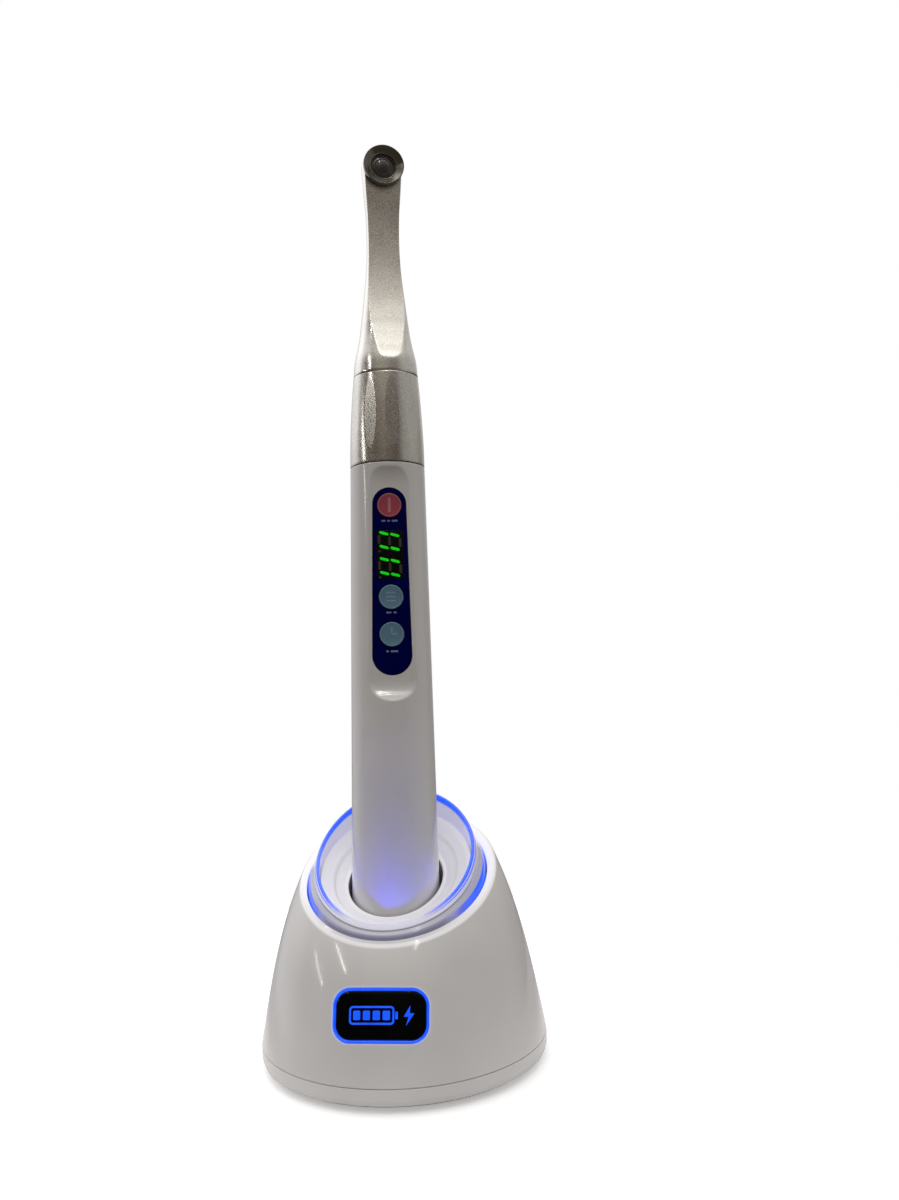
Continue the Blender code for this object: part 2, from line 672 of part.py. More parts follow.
def dc_inlet():
    black = material("black plastic")
    steel = material("plated steel")
    half = JACK_HALF_SIZE
    jack = block("dc_jack_body", (-half, JACK_BACK, JACK_HEIGHT - half),
                 (half, JACK_FRONT, JACK_HEIGHT + half), black)
    nose = rod("jack_nose", JACK_NOSE_RADIUS, JACK_NOSE_START, JACK_NOSE_END, black)
    nose.matrix_world = facing_back()
    boolean(jack, nose, "UNION")
    barrel = rod("jack_barrel", JACK_BORE_RADIUS, JACK_BORE_START, BASE_RADIUS + SHELL_WALL, black)
    barrel.matrix_world = facing_back()
    boolean(jack, barrel)
    pin = rod("dc_jack_pin", JACK_PIN_RADIUS, JACK_BORE_START + GAP, JACK_PIN_END, steel,
              segments=16, bevel=GAP)
    pin.matrix_world = facing_back()


def contact_pieces():
    black = material("black plastic")
    gold = material("gold plating")
    holder = block("contact_holder", (-HOLDER_HALF_WIDTH, -HOLDER_HALF_DEPTH, HOLDER_LOW),
                   (HOLDER_HALF_WIDTH, HOLDER_HALF_DEPTH, SOCKET_BOTTOM - GAP), black)
    holder.matrix_world = pen_matrix()
    for name, side in (("charging_pin_left", -1), ("charging_pin_right", 1)):
        place = pen_matrix() @ Matrix.Translation((side * PIN_OFFSET, 0.0, 0.0))
        hole = rod(f"holder_hole_{side}", PIN_HOLE_RADIUS, PIN_LOW, TAIL_END, black, segments=16)
        hole.matrix_world = place
        boolean(holder, hole)
        pin = turned(name, [(PIN_RADIUS, PIN_LOW), (PIN_RADIUS, PIN_SHOULDER), (PIN_TIP_RADIUS, PIN_TIP)],
                     gold, segments=16)
        pin.matrix_world = place


# ---- handpiece -------------------------------------------------------------------

def body_radius(position):
    run = max(0.0, position - TAPER_START) / (BODY_TOP - TAPER_START)
    return TAIL_RADIUS + (BODY_TOP_RADIUS - TAIL_RADIUS) * run


def body_shell(white, pen):
    bore_low = TAIL_SEAM + GAP
    profile = [(body_radius(position), position)
               for position in (bore_low, TAPER_START, *BODY_STATIONS, BODY_TOP)]
    profile += [(UPPER_BORE, BODY_TOP), (UPPER_BORE, UPPER_BORE_START),
                (body_radius(LOWER_BORE_END) - BODY_WALL, LOWER_BORE_END),
                (TAIL_RADIUS - BODY_WALL, bore_low)]
    shell = turned("body_shell", profile, white, pen, closed=True)
    outline = stadium(RECESS_LOW, RECESS_HIGH, RECESS_HALF_WIDTH, RECESS_HALF_WIDTH)
    recess = mesh_object("recess_cut", prism(outline, 0.0, BODY_CUT), white, pen)
    recess.matrix_local = facing_front(RECESS_FRONT, 0.0)
    boolean(shell, recess)
    outline = stadium(PANEL_LOW - GAP, PANEL_HIGH + GAP, PANEL_HALF_WIDTH_LOW + GAP,
                      PANEL_HALF_WIDTH_HIGH + GAP)
    pocket = mesh_object("panel_pocket", prism(outline, 0.0, BODY_CUT), white, pen)
    pocket.matrix_local = facing_front(RECESS_FRONT - PANEL_SINK - PANEL_THICKNESS - GAP, 0.0)
    boolean(shell, pocket)


def tail_pieces(white, pen):
    gold = material("gold plating")
    steel = material("plated steel")
    cap = turned("tail_cap", [(TAIL_RADIUS - FOOT_INSET, TAIL_END),
                              (TAIL_RADIUS - TAIL_EDGE_INSET, TAIL_END + TAIL_EDGE_RISE),
                              (TAIL_RADIUS, TAIL_END + FOOT_RISE), (TAIL_RADIUS, TAIL_SEAM),
                              (TAIL_RADIUS - BODY_WALL - GAP, TAIL_SEAM),
                              (TAIL_RADIUS - BODY_WALL - GAP, TAIL_SEAM + TAIL_SPIGOT)], white, pen)
    for name, side in (("charge_pad_left", -1), ("charge_pad_right", 1)):
        place = Matrix.Translation((side * PIN_OFFSET, 0.0, 0.0))
        hole = rod(f"{name}_hole", CHARGE_PAD_HOLE, SOCKET_BOTTOM, CHARGE_PAD_HIGH + GAP, white, pen,
                   segments=16)
        hole.matrix_local = place
        boolean(cap, hole)
        pad = rod(name, CHARGE_PAD_RADIUS, CHARGE_PAD_LOW, CHARGE_PAD_HIGH, gold, pen, segments=16)
        pad.matrix_local = place
    rod("cell_contact", CELL_CONTACT_RADIUS, CELL_CONTACT_LOW, CELL_CONTACT_HIGH, steel, pen)
    wrap = material("cell wrap")
    turned("battery_cell", [(CELL_RADIUS - CELL_EDGE, CELL_LOW), (CELL_RADIUS, CELL_LOW + CELL_EDGE),
                            (CELL_RADIUS, CELL_HIGH - CELL_EDGE), (CELL_RADIUS - CELL_EDGE, CELL_HIGH),
                            (CELL_TERMINAL_RADIUS, CELL_HIGH), (CELL_TERMINAL_RADIUS, CELL_TERMINAL_TOP)],
           wrap, pen, segments=24)
    tube("cell_retainer", RETAINER_BORE, RETAINER_RADIUS, RETAINER_LOW, RETAINER_HIGH,
         material("black plastic"), pen, segments=24)


def front_block(name, width, low, high, back, front, shade, pen):
    """A block behind the control panel, given by its heights and its distances from the axis."""
    return block(name, (-width / 2, -front, low), (width / 2, -back, high), shade, pen)


def electronics(pen):
    board = material("green board")
    black = material("black plastic")
    front_block("main_board", BOARD_WIDTH, BOARD_LOW, BOARD_HIGH, BOARD_BACK, BOARD_FRONT, board, pen)
    front_block("display_module", DISPLAY_MODULE_WIDTH, DISPLAY_LOW + DISPLAY_MODULE_INSET,
                DISPLAY_HIGH - DISPLAY_MODULE_INSET, MODULE_BACK, DISPLAY_MODULE_FRONT, black, pen)
    half = SWITCH_WIDTH / 2
    for label, height in BUTTON_POSITIONS.items():
        switch = front_block(f"{label}_switch", SWITCH_WIDTH, height - half, height + half, MODULE_BACK,
                             SWITCH_FRONT, black, pen)
        plunger = rod(f"{label}_plunger", PLUNGER_RADIUS, -PLUNGER_TRAVEL_END, PLUNGER_TRAVEL_END, black, pen,
                      segments=12)
        plunger.matrix_local = facing_front(SWITCH_FRONT, height)
        boolean(switch, plunger, "UNION")
    sounder = rod("sounder", SOUNDER_RADIUS, 0.0, SOUNDER_THICKNESS, black, pen)
    sounder.matrix_local = facing_front(SOUNDER_FRONT, SOUNDER_HEIGHT)
    rod("head_connector", CONNECTOR_RADIUS, CONNECTOR_LOW, CONNECTOR_HIGH, black, pen)


def control_panel(pen):
    navy = material("navy panel")
    smoke = material("smoked window")
    low = RECESS_FRONT - PANEL_SINK - PANEL_THICKNESS
    outline = stadium(PANEL_LOW, PANEL_HIGH, PANEL_HALF_WIDTH_LOW, PANEL_HALF_WIDTH_HIGH, 12)
    panel = mesh_object("control_panel", prism(outline, 0.0, PANEL_THICKNESS), navy, pen)
    panel.matrix_local = facing_front(low, 0.0)
    middle = (DISPLAY_LOW + DISPLAY_HIGH) / 2
    length = DISPLAY_HIGH - DISPLAY_LOW
    outline = rounded_rectangle(DISPLAY_WIDTH + 2 * GAP, length + 2 * GAP, DISPLAY_CORNER, 2)
    opening = mesh_object("display_opening", prism(outline, *PANEL_CUT), navy, pen)
    opening.matrix_local = facing_front(low, middle)
    boolean(panel, opening)
    for label, height in BUTTON_POSITIONS.items():
        hole = rod(f"{label}_opening", BUTTON_RADIUS + GAP, *PANEL_CUT, navy, pen, segments=28)
        hole.matrix_local = facing_front(low, height)
        boolean(panel, hole)
    outline = rounded_rectangle(DISPLAY_WIDTH, length, DISPLAY_CORNER, 2)
    window = mesh_object("display_window", prism(outline, 0.0, PANEL_THICKNESS), smoke, pen)
    window.matrix_local = facing_front(low, middle)


def buttons(pen):
    red = material("red button")
    blue = material("grey blue button")
    top = RECESS_FRONT + BUTTON_PROUD
    for label, height in BUTTON_POSITIONS.items():
        shade = red if label == "power" else blue
        profile = [(BUTTON_RADIUS, 0.0), (BUTTON_RADIUS, BUTTON_LENGTH - BUTTON_EDGE_DEPTH),
                   (BUTTON_RADIUS - BUTTON_EDGE, BUTTON_LENGTH),
                   (BUTTON_CROWN_RADIUS, BUTTON_LENGTH + BUTTON_CROWN)]
        button = turned(f"{label}_button", profile, shade, pen, segments=28)
        button.matrix_local = facing_front(top - BUTTON_LENGTH, height)


def sleeve_radius(position):
    run = (position - SLEEVE_BOTTOM) / (SLEEVE_TOP - SLEEVE_BOTTOM)
    return BODY_TOP_RADIUS + (SLEEVE_TOP_RADIUS - BODY_TOP_RADIUS) * run ** SLEEVE_CURVE


def sleeve_pieces(pen):
    silver = material("satin metal")
    bronze = material("bearing bronze")
    rubber = material("dark rubber")
    heights = [SLEEVE_BOTTOM + (SLEEVE_TOP - SLEEVE_BOTTOM) * k / 5 for k in range(6)]
    profile = [(sleeve_radius(height), height) for height in heights]
    profile += [(SLEEVE_TOP_BORE, SLEEVE_TOP), (SLEEVE_TOP_BORE, SLEEVE_TOP - SLEEVE_TOP_WALL)]
    profile += [(sleeve_radius(height) - SLEEVE_WALL, height) for height in SLEEVE_BORE_STATIONS]
    turned("grip_sleeve", profile, silver, pen, closed=True)
    tube("joint_collar", COLLAR_BORE, COLLAR_RADIUS, COLLAR_LOW, COLLAR_HIGH, material("black plastic"),
         pen, segments=24)
    tube("swivel_bush", SPINDLE_CLEARANCE, BUSH_RADIUS, BUSH_LOW, BUSH_HIGH, bronze, pen, segments=24)
    angles = [2 * math.pi * k / SEAL_SIDES for k in range(SEAL_SIDES)]
    seal = [(SEAL_RADIUS + SEAL_SECTION * math.cos(angle), SEAL_HEIGHT + SEAL_SECTION * math.sin(angle))
            for angle in angles]
    turned("head_seal", seal, rubber, pen, segments=24, closed=True)


# ---- head ------------------------------------------------------------------------

def head_station(position):
    """Half-width, back and flat of the head at a position, on a smooth line through HEAD_LINE."""
    line = HEAD_LINE
    index = max(i for i in range(len(line) - 1) if line[i][0] <= position or i == 0)
    start, end = line[index], line[index + 1]
    before = line[max(index - 1, 0)]
    after = line[min(index + 2, len(line) - 1)]
    span = end[0] - start[0]
    t = min(max((position - start[0]) / span, 0.0), 1.0)
    values = []
    for k in (1, 2, 3):
        slope_start = (end[k] - before[k]) / (end[0] - before[0]) * span
        slope_end = (after[k] - start[k]) / (after[0] - start[0]) * span
        values.append(start[k] * (2 * t ** 3 - 3 * t ** 2 + 1) + slope_start * (t ** 3 - 2 * t ** 2 + t)
                      + end[k] * (3 * t ** 2 - 2 * t ** 3) + slope_end * (t ** 3 - t ** 2))
    return values


def head_ring(position, front_steps=4, back_steps=22):
    """One section: a flat across the front, and the rest round the sides and the back."""
    power = HEAD_SECTION_POWER
    width, back, flat = head_station(position)
    if position > LENS_CENTRE:
        climb = (position - LENS_CENTRE) / HEAD_RADIUS
        width = HEAD_RADIUS * math.sqrt(max(1.0 - climb ** 2, 0.02))
        back = back * (1.0 - 0.75 * climb ** 3)
    reach = min(flat / max(width, back * 0.9), 1.0)
    depth = max(width, back * 0.9)
    edge = max(width * (1.0 - reach ** power) ** (1.0 / power), 0.0003)
    points = []
    for k in range(front_steps):
        side = edge * (1.0 - 2.0 * k / front_steps)
        front = min(flat, depth * (1.0 - (abs(side) / width) ** power) ** (1.0 / power))
        points.append(Vector((-side, -front, position)))
    start = math.acos(min((edge / width) ** (power / 2), 1.0))
    for k in range(back_steps):
        angle = start - (math.pi + 2.0 * start) * k / back_steps
        cosine = math.cos(angle)
        sine = math.sin(angle)
        side = width * math.copysign(abs(cosine) ** (2 / power), cosine)
        reach_out = depth if sine > 0 else back
        front = reach_out * math.copysign(abs(sine) ** (2 / power), sine)
        points.append(Vector((side, -front, position)))
    return points


def head_housing(head):
    silver = material("satin metal")
    run = LENS_CENTRE - HEAD_BOTTOM
    low = [HEAD_BOTTOM + run * k / HEAD_STATIONS for k in range(HEAD_STATIONS + 1)]
    high = [LENS_CENTRE + HEAD_RADIUS * math.sin(math.radians(angle)) for angle in HEAD_END_ANGLES]
    rings = [head_ring(position) for position in low + high]
    housing = mesh_object("head_housing", loft(rings), silver, head)
    bore = rod("spindle_bore", SPINDLE_CLEARANCE, BUSH_HIGH, SPINDLE_SOCKET_TOP, silver, head, segments=24)
    boolean(housing, bore)
    channel = rod("rod_channel", ROD_CHANNEL_RADIUS, HEAD_BOTTOM, ROD_CHANNEL_TOP, silver, head, segments=16)
    channel.matrix_local = Matrix.Translation((0.0, ROD_BEHIND, 0.0))
    boolean(housing, channel)
    pocket = rod("lens_pocket", POCKET_RADIUS, 0.0, 2 * POCKET_RADIUS, silver, head, segments=24)
    pocket.matrix_local = facing_front(POCKET_FLOOR, LENS_CENTRE)
    boolean(housing, pocket)


def head_front_pieces(head):
    steel = material("dark steel")
    glass = material("clear lens")
    copper = material("copper")
    emitter = material("emitter")
    bezel = turned("lens_bezel", [(LENS_RADIUS + GAP, 0.0), (POCKET_RADIUS - GAP, 0.0),
                                  (POCKET_RADIUS - GAP, HEAD_FACE + GAP), (BEZEL_RADIUS, HEAD_FACE + GAP),
                                  (BEZEL_RADIUS, BEZEL_FRONT - BEZEL_EDGE_DEPTH),
                                  (BEZEL_RADIUS - BEZEL_EDGE, BEZEL_FRONT),
                                  (LENS_RADIUS + BEZEL_CONE_WIDTH, HEAD_FACE + BEZEL_CONE_HEIGHT)],
                   steel, head, segments=32, closed=True)
    bezel.matrix_local = facing_front(0.0, LENS_CENTRE)
    crown = [(LENS_RADIUS * share, height) for share, height in LENS_CROWN]
    profile = [(LENS_RADIUS, 0.0), (LENS_RADIUS, LENS_EDGE), *crown]
    lens = turned("head_lens", profile, glass, head, segments=24)
    lens.matrix_local = facing_front(0.0, LENS_CENTRE)
    board = rod("led_board", POCKET_RADIUS - GAP, 0.0, HEAD_LED_BOARD_THICKNESS, copper, head, segments=24)
    board.matrix_local = facing_front(LED_BOARD_FACE, LENS_CENTRE)
    die = turned("led_emitter", EMITTER_PROFILE, emitter, head, segments=16)
    die.matrix_local = facing_front(EMITTER_FACE, LENS_CENTRE)


def head_inner_pieces(head):
    copper = material("copper")
    steel = material("plated steel")
    tube("head_spindle", SPINDLE_BORE, SPINDLE_RADIUS, SPINDLE_LOW, SPINDLE_HIGH, steel, head, segments=24)
    tube("retaining_ring", SPINDLE_CLEARANCE, RETAINING_RING_RADIUS, RETAINING_RING_LOW, RETAINING_RING_HIGH,
         steel, head, segments=24)
    heat_rod = rod("heat_rod", ROD_RADIUS, ROD_LOW, ROD_HIGH, copper, head, segments=12)
    heat_rod.matrix_local = Matrix.Translation((0.0, ROD_BEHIND, 0.0))


# ---- assembly --------------------------------------------------------------------

def build():
    clear_scene()
    white = material("white gloss plastic")
    base_shell(white)
    base_plate(white)
    base_bottom_pieces()
    socket_cup(white)
    light_ring()
    ring_led_board()
    window_pieces()
    dc_inlet()
    contact_pieces()
    pen = frame_empty("handpiece_frame", pen_matrix() @ Matrix.Rotation(PEN_TURN, 4, "Z"))
    body_shell(white, pen)
    tail_pieces(white, pen)
    electronics(pen)
    control_panel(pen)
    buttons(pen)
    sleeve_pieces(pen)
    head = frame_empty("head_frame", Matrix.Rotation(HEAD_TURN, 4, "Z"), pen)
    head_housing(head)
    head_front_pieces(head)
    head_inner_pieces(head)


build()
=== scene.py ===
import json
from math import atan2, ceil, copysign, cos, exp, pi, radians, sin, sqrt, tan

import bpy
from mathutils import Matrix, Vector


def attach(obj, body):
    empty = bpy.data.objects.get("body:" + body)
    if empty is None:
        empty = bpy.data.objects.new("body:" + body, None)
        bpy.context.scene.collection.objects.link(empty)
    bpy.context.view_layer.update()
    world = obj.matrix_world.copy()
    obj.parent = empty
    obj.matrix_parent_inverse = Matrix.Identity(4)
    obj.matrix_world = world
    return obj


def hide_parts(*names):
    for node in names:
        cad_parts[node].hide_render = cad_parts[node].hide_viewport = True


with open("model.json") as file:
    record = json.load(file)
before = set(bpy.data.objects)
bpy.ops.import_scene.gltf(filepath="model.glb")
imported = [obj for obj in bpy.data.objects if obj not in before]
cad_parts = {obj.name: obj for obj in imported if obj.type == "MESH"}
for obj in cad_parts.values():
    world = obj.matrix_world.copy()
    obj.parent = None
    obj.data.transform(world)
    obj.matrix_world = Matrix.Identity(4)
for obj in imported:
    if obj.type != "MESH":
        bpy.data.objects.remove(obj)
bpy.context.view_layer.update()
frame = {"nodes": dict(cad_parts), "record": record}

# ---- the part's own dimensions, in metres ----

GAP = 0.0003
BASE_RADIUS = 0.042
SEAM_HEIGHT = 0.0068
SEAM_GAP = 0.00014
PAD_THICKNESS = 0.0010
PLATE_FLOOR = 0.0022
PLATE_WALL = 0.0020
SHELL_WALL = 0.0020
LIP_RADIUS = 0.0291
LIP_CENTRE_Y = 0.0016
LIP_HEIGHT = 0.0540
LIP_SLOPE = tan(radians(24.7))
LIP_ROUNDING = 0.0004
MOUTH_RADIUS = 0.0266
MOUTH_CENTRE_Y = -0.0002
MOUTH_HEIGHT = 0.0539
MOUTH_SLOPE = tan(radians(23.7))
MOUTH_DEPTH = 0.0030
RING_OUTER = 0.0262
RING_EDGE_HEIGHT = 0.0540
RING_BOTTOM_HEIGHT = 0.0500
RING_INNER = 0.0224
RING_CENTRE_Y = -0.0015
RING_TOP_HEIGHT = 0.0605
RING_TOP_SLOPE = tan(radians(32.5))
LEAN = radians(8.96)
AXIS_FOOT_Y = -0.01074
PEN_TURN = radians(12.0)
HEAD_TURN = radians(9.0)
SOCKET_RADIUS = 0.01375
SOCKET_FLOOR_RADIUS = 0.0133
SOCKET_WALL = 0.0013
SOCKET_FLOOR = 0.0197
SOCKET_BOTTOM = 0.0180
DISH_RADIUS = 0.0221
DISH_HEIGHT = 0.0564
DISH_SLOPE = tan(radians(28.2))
DISH_THICKNESS = 0.0014
HOLE_HEIGHT = 0.0529
HOLE_SLOPE = tan(radians(24.5))
TAIL_END = 0.0200
TAIL_SEAM = 0.0262
BODY_TOP = 0.1761
TAIL_RADIUS = 0.0129
TAPER_START = 0.0450
BODY_TOP_RADIUS = 0.01125
BODY_WALL = 0.0015
UPPER_BORE = 0.0092
UPPER_BORE_START = 0.0980
RECESS_FRONT = 0.0098
RECESS_LOW = 0.1051
RECESS_HIGH = 0.1743
PANEL_LOW = 0.1130
PANEL_HIGH = 0.1684
PANEL_HALF_WIDTH_LOW = 0.00575
PANEL_HALF_WIDTH_HIGH = 0.0049
PANEL_THICKNESS = 0.0009
PANEL_SINK = 0.0001
BUTTON_RADIUS = 0.0036
BUTTON_PROUD = 0.00025
BUTTON_LENGTH = 0.0019
BUTTON_POSITIONS = {"power": 0.1632, "mode": 0.1359, "time": 0.1249}
DISPLAY_LOW = 0.1413
DISPLAY_HIGH = 0.1556
DISPLAY_WIDTH = 0.0081
SLEEVE_BOTTOM = BODY_TOP + GAP
SLEEVE_TOP = 0.2042
SLEEVE_TOP_RADIUS = 0.00985
SLEEVE_WALL = 0.0012
HEAD_BOTTOM = SLEEVE_TOP + GAP
LENS_CENTRE = 0.2711
HEAD_RADIUS = 0.0063
HEAD_FACE = 0.0028
BEZEL_FRONT = 0.0046
BEZEL_RADIUS = 0.00635
LENS_RADIUS = 0.0039
POCKET_RADIUS = 0.0049
POCKET_FLOOR = -0.0030
SPINDLE_RADIUS = 0.0053
ROD_RADIUS = 0.0018
ROD_OFFSET = 0.0024
WINDOW_WIDTH = 0.0264
WINDOW_HEIGHT = 0.0142
WINDOW_CORNER = 0.0047
WINDOW_FRAME = 0.0007
WINDOW_RISE = 0.532
SCREW_CIRCLE = 0.0350
JACK_HEIGHT = 0.0142
PIN_OFFSET = 0.0040
HEAD_LINE = (
    (0.2045, 0.00978, 0.00978, 0.0120),
    (0.2090, 0.00935, 0.00935, 0.0092),
    (0.2134, 0.00842, 0.00850, 0.0076),
    (0.2171, 0.00772, 0.00785, 0.00640),
    (0.2211, 0.00722, 0.00735, 0.00525),
    (0.2291, 0.00630, 0.00650, 0.00345),
    (0.2381, 0.00538, 0.00575, 0.00222),
    (0.2471, 0.00502, 0.00540, 0.0018),
    (0.2561, 0.00522, 0.00540, 0.0019),
    (0.2641, 0.00582, 0.00555, 0.0024),
    (0.2711, 0.00630, 0.00560, 0.0028),
)

TURN = 2 * pi
FRONT = -pi / 2
STRAIGHT_PEN = Matrix.Translation((0.0, AXIS_FOOT_Y, 0.0)) @ Matrix.Rotation(-LEAN, 4, "X")
PEN = STRAIGHT_PEN @ Matrix.Rotation(PEN_TURN, 4, "Z")
HEAD = PEN @ Matrix.Rotation(HEAD_TURN, 4, "Z")
INLET = Matrix.Translation((0.0, 0.0, JACK_HEIGHT)) @ Matrix.Rotation(radians(-90), 4, "X")
SHARP = 32.0  # edges steeper than this many degrees stay hard
PLAY = 0.00012  # between the keypad foil and what stands in its openings
BAR_WIDTH = 0.00080
WHITE = (0.80, 0.785, 0.775)
GAUGE_FOOT = 0.0001 - 0.0003
GAUGE_FACE = 0.00005


# ---- camera ----

def link(name, data):
    item = bpy.data.objects.new(name, data)
    bpy.context.scene.collection.objects.link(item)
    return item


def add_camera():
    azimuth = radians(7.63)
    pitch = radians(-2.44)
    roll = radians(-2.66)
    across, away, height = 0.01920, 0.38017, 0.15023
    right = Vector((cos(azimuth), sin(azimuth), 0.0))
    level = Vector((-sin(azimuth), cos(azimuth), 0.0))
    ahead = level * cos(pitch) + Vector((0.0, 0.0, sin(pitch)))
    up = right.cross(ahead)
    tilted_right = right * cos(roll) + up * sin(roll)
    tilted_up = up * cos(roll) - right * sin(roll)
    place = right * across - level * away + Vector((0.0, 0.0, height))
    camera = link("camera", bpy.data.cameras.new("camera"))
    camera.data.lens = 39.0
    camera.data.sensor_width = 36.0
    camera.data.clip_start = 0.01
    camera.data.clip_end = 50.0
    turn = Matrix((tilted_right, tilted_up, -ahead)).transposed().to_4x4()
    camera.matrix_world = Matrix.Translation(place) @ turn
    bpy.context.scene.camera = camera


# ---- mesh helpers ----

def new_object(name, vertices, faces, matrix=None, sharp=SHARP):
    mesh = bpy.data.meshes.new(name)
    mesh.from_pydata([tuple(v) for v in vertices], [], faces)
    mesh.update()
    mesh.shade_smooth()
    mesh.set_sharp_from_angle(angle=radians(sharp))
    item = link(name, mesh)
    if matrix is not None:
        item.matrix_world = matrix
    return item


def skin(name, rings, closed=False, matrix=None, sharp=SHARP):
    """Skins equal rings in order; closed joins the last to the first, else both ends get a cap."""
    count = len(rings[0])
    rows = len(rings)
    vertices = [p for ring in rings for p in ring]
    faces = []
    for i in range(rows if closed else rows - 1):
        j = (i + 1) % rows
        for k in range(count):
            after = (k + 1) % count
            faces.append((i * count + k, i * count + after, j * count + after, j * count + k))
    if not closed:
        faces.append(tuple(range(count))[::-1])
        faces.append(tuple(range((rows - 1) * count, rows * count)))
    item = new_object(name, vertices, faces, matrix, sharp)
    outward(item)
    return item


def outward(item):
    """Turns the faces outward if the closed mesh has a negative volume."""
    mesh = item.data
    mesh.calc_loop_triangles()
    volume = 0.0
    co = [v.co for v in mesh.vertices]
    for t in mesh.loop_triangles:
        a, b, c = (co[i] for i in t.vertices)
        volume += a.dot(b.cross(c))
    if volume < 0:
        mesh.flip_normals()


def mix(ring_a, ring_b, share):
    return [a.lerp(b, share) for a, b in zip(ring_a, ring_b)]


def round_over(ring_a, corner, ring_b, steps=6):
    """Rings that round the corner between two rings."""
    rings = []
    for k in range(steps + 1):
        t = k / steps
        rings.append([a * (1 - t) ** 2 + c * 2 * t * (1 - t) + b * t ** 2
                      for a, c, b in zip(ring_a, corner, ring_b)])
    return rings


def fillet(points, radius, steps=5, closed=True, only=None):
    """Rounds the corners of an outline or profile."""
    result = []
    count = len(points)
    for i, point in enumerate(points):
        end = not closed and i in (0, count - 1)
        p = Vector(point)
        size = radius if only is None else only.get(i, 0.0)
        if end or size == 0.0:
            result.append(p)
            continue
        a = Vector(points[i - 1]) - p
        b = Vector(points[(i + 1) % count]) - p
        half = a.angle(b) / 2
        reach = min(size / tan(half), 0.48 * a.length, 0.48 * b.length)
        size = reach * tan(half)
        middle = (a.normalized() + b.normalized()).normalized() * (size / sin(half))
        start = a.normalized() * reach - middle
        stop = b.normalized() * reach - middle
        for k in range(steps + 1):
            result.append(p + middle + start.lerp(stop, k / steps).normalized() * size)
    return result


def turned(name, profile, matrix=None, segments=128, closed=False, sharp=SHARP):
    rings = []
    for radius, height in profile:
        rings.append([Vector((radius * cos(TURN * k / segments), radius * sin(TURN * k / segments),
                              height)) for k in range(segments)])
    return skin(name, rings, closed, matrix, sharp)


def prism(name, outline, low, high, matrix=None, bevel=0.0, sharp=SHARP):
    """A plate with this outline; its upper edge may be rounded."""
    levels = [(low, 0.0)]
    if bevel:
        for k in range(5):
            angle = radians(90 * k / 4)
            levels.append((high - bevel + bevel * sin(angle), bevel * (1 - cos(angle))))
    else:
        levels.append((high, 0.0))
    rings = []
    for level, inset in levels:
        shape = offset(outline, inset) if inset else outline
        rings.append([Vector((p[0], p[1], level)) for p in shape])
    return skin(name, rings, matrix=matrix, sharp=sharp)


def offset(outline, inset):
    """Moves every point of a counter-clockwise outline inward."""
    count = len(outline)
    result = []
    for i in range(count):
        before = Vector(outline[i - 1][:2])
        here = Vector(outline[i][:2])
        after = Vector(outline[(i + 1) % count][:2])
        along = (after - before).normalized()
        result.append(here + Vector((-along.y, along.x)) * inset)
    return result


def stadium(low, high, radius_low, radius_high, steps=36):
    points = []
    for radius, centre, start in ((radius_high, high - radius_high, 0.0), (radius_low, low + radius_low, pi)):
        for k in range(steps + 1):
            angle = start + pi * k / steps
            points.append(Vector((radius * cos(angle), centre + radius * sin(angle))))
    return points


def rounded_rectangle(width, height, corner, steps=10, centre=(0.0, 0.0)):
    points = []
    for index, (sx, sy) in enumerate(((1, 1), (-1, 1), (-1, -1), (1, -1))):
        for k in range(steps + 1):
            angle = radians(90 * (index + k / steps))
            points.append(Vector((centre[0] + sx * (width / 2 - corner) + corner * cos(angle),
                                  centre[1] + sy * (height / 2 - corner) + corner * sin(angle))))
    return points


def circle_outline(radius, steps=48, centre=(0.0, 0.0)):
    return [Vector((centre[0] + radius * cos(TURN * k / steps),
                    centre[1] + radius * sin(TURN * k / steps))) for k in range(steps)]


def cut(item, other, sharp=SHARP):
    """Takes the other object out of this one and throws it away."""
    modifier = item.modifiers.new("cut", "BOOLEAN")
    modifier.operation = "DIFFERENCE"
    modifier.solver = "EXACT"
    modifier.object = other
    bpy.context.view_layer.update()
    graph = bpy.context.evaluated_depsgraph_get()
    mesh = bpy.data.meshes.new_from_object(item.evaluated_get(graph))
    item.modifiers.clear()
    item.data = mesh
    mesh.shade_smooth()
    mesh.set_sharp_from_angle(angle=radians(sharp))
    bpy.data.objects.remove(other, do_unlink=True)


def pin_holes(item, place, radius, low, high, sides):
    for side in (-1, 1):
        along = place @ Matrix.Translation((side * PIN_OFFSET, 0.0, 0.0))
        cut(item, turned("pin_hole", [(radius, low), (radius, high)], along, sides))


def facing_front(distance, height):
    return Matrix.Translation((0.0, -distance, height)) @ Matrix.Rotation(radians(90), 4, "X")


def smooth(value):
    t = min(max(value, 0.0), 1.0)
    return t * t * (3 - 2 * t)


def soft_min(a, b, reach):
    share = min(max(0.5 + 0.5 * (b - a) / reach, 0.0), 1.0)
    return b + (a - b) * share - reach * share * (1 - share)


# ---- materials ----

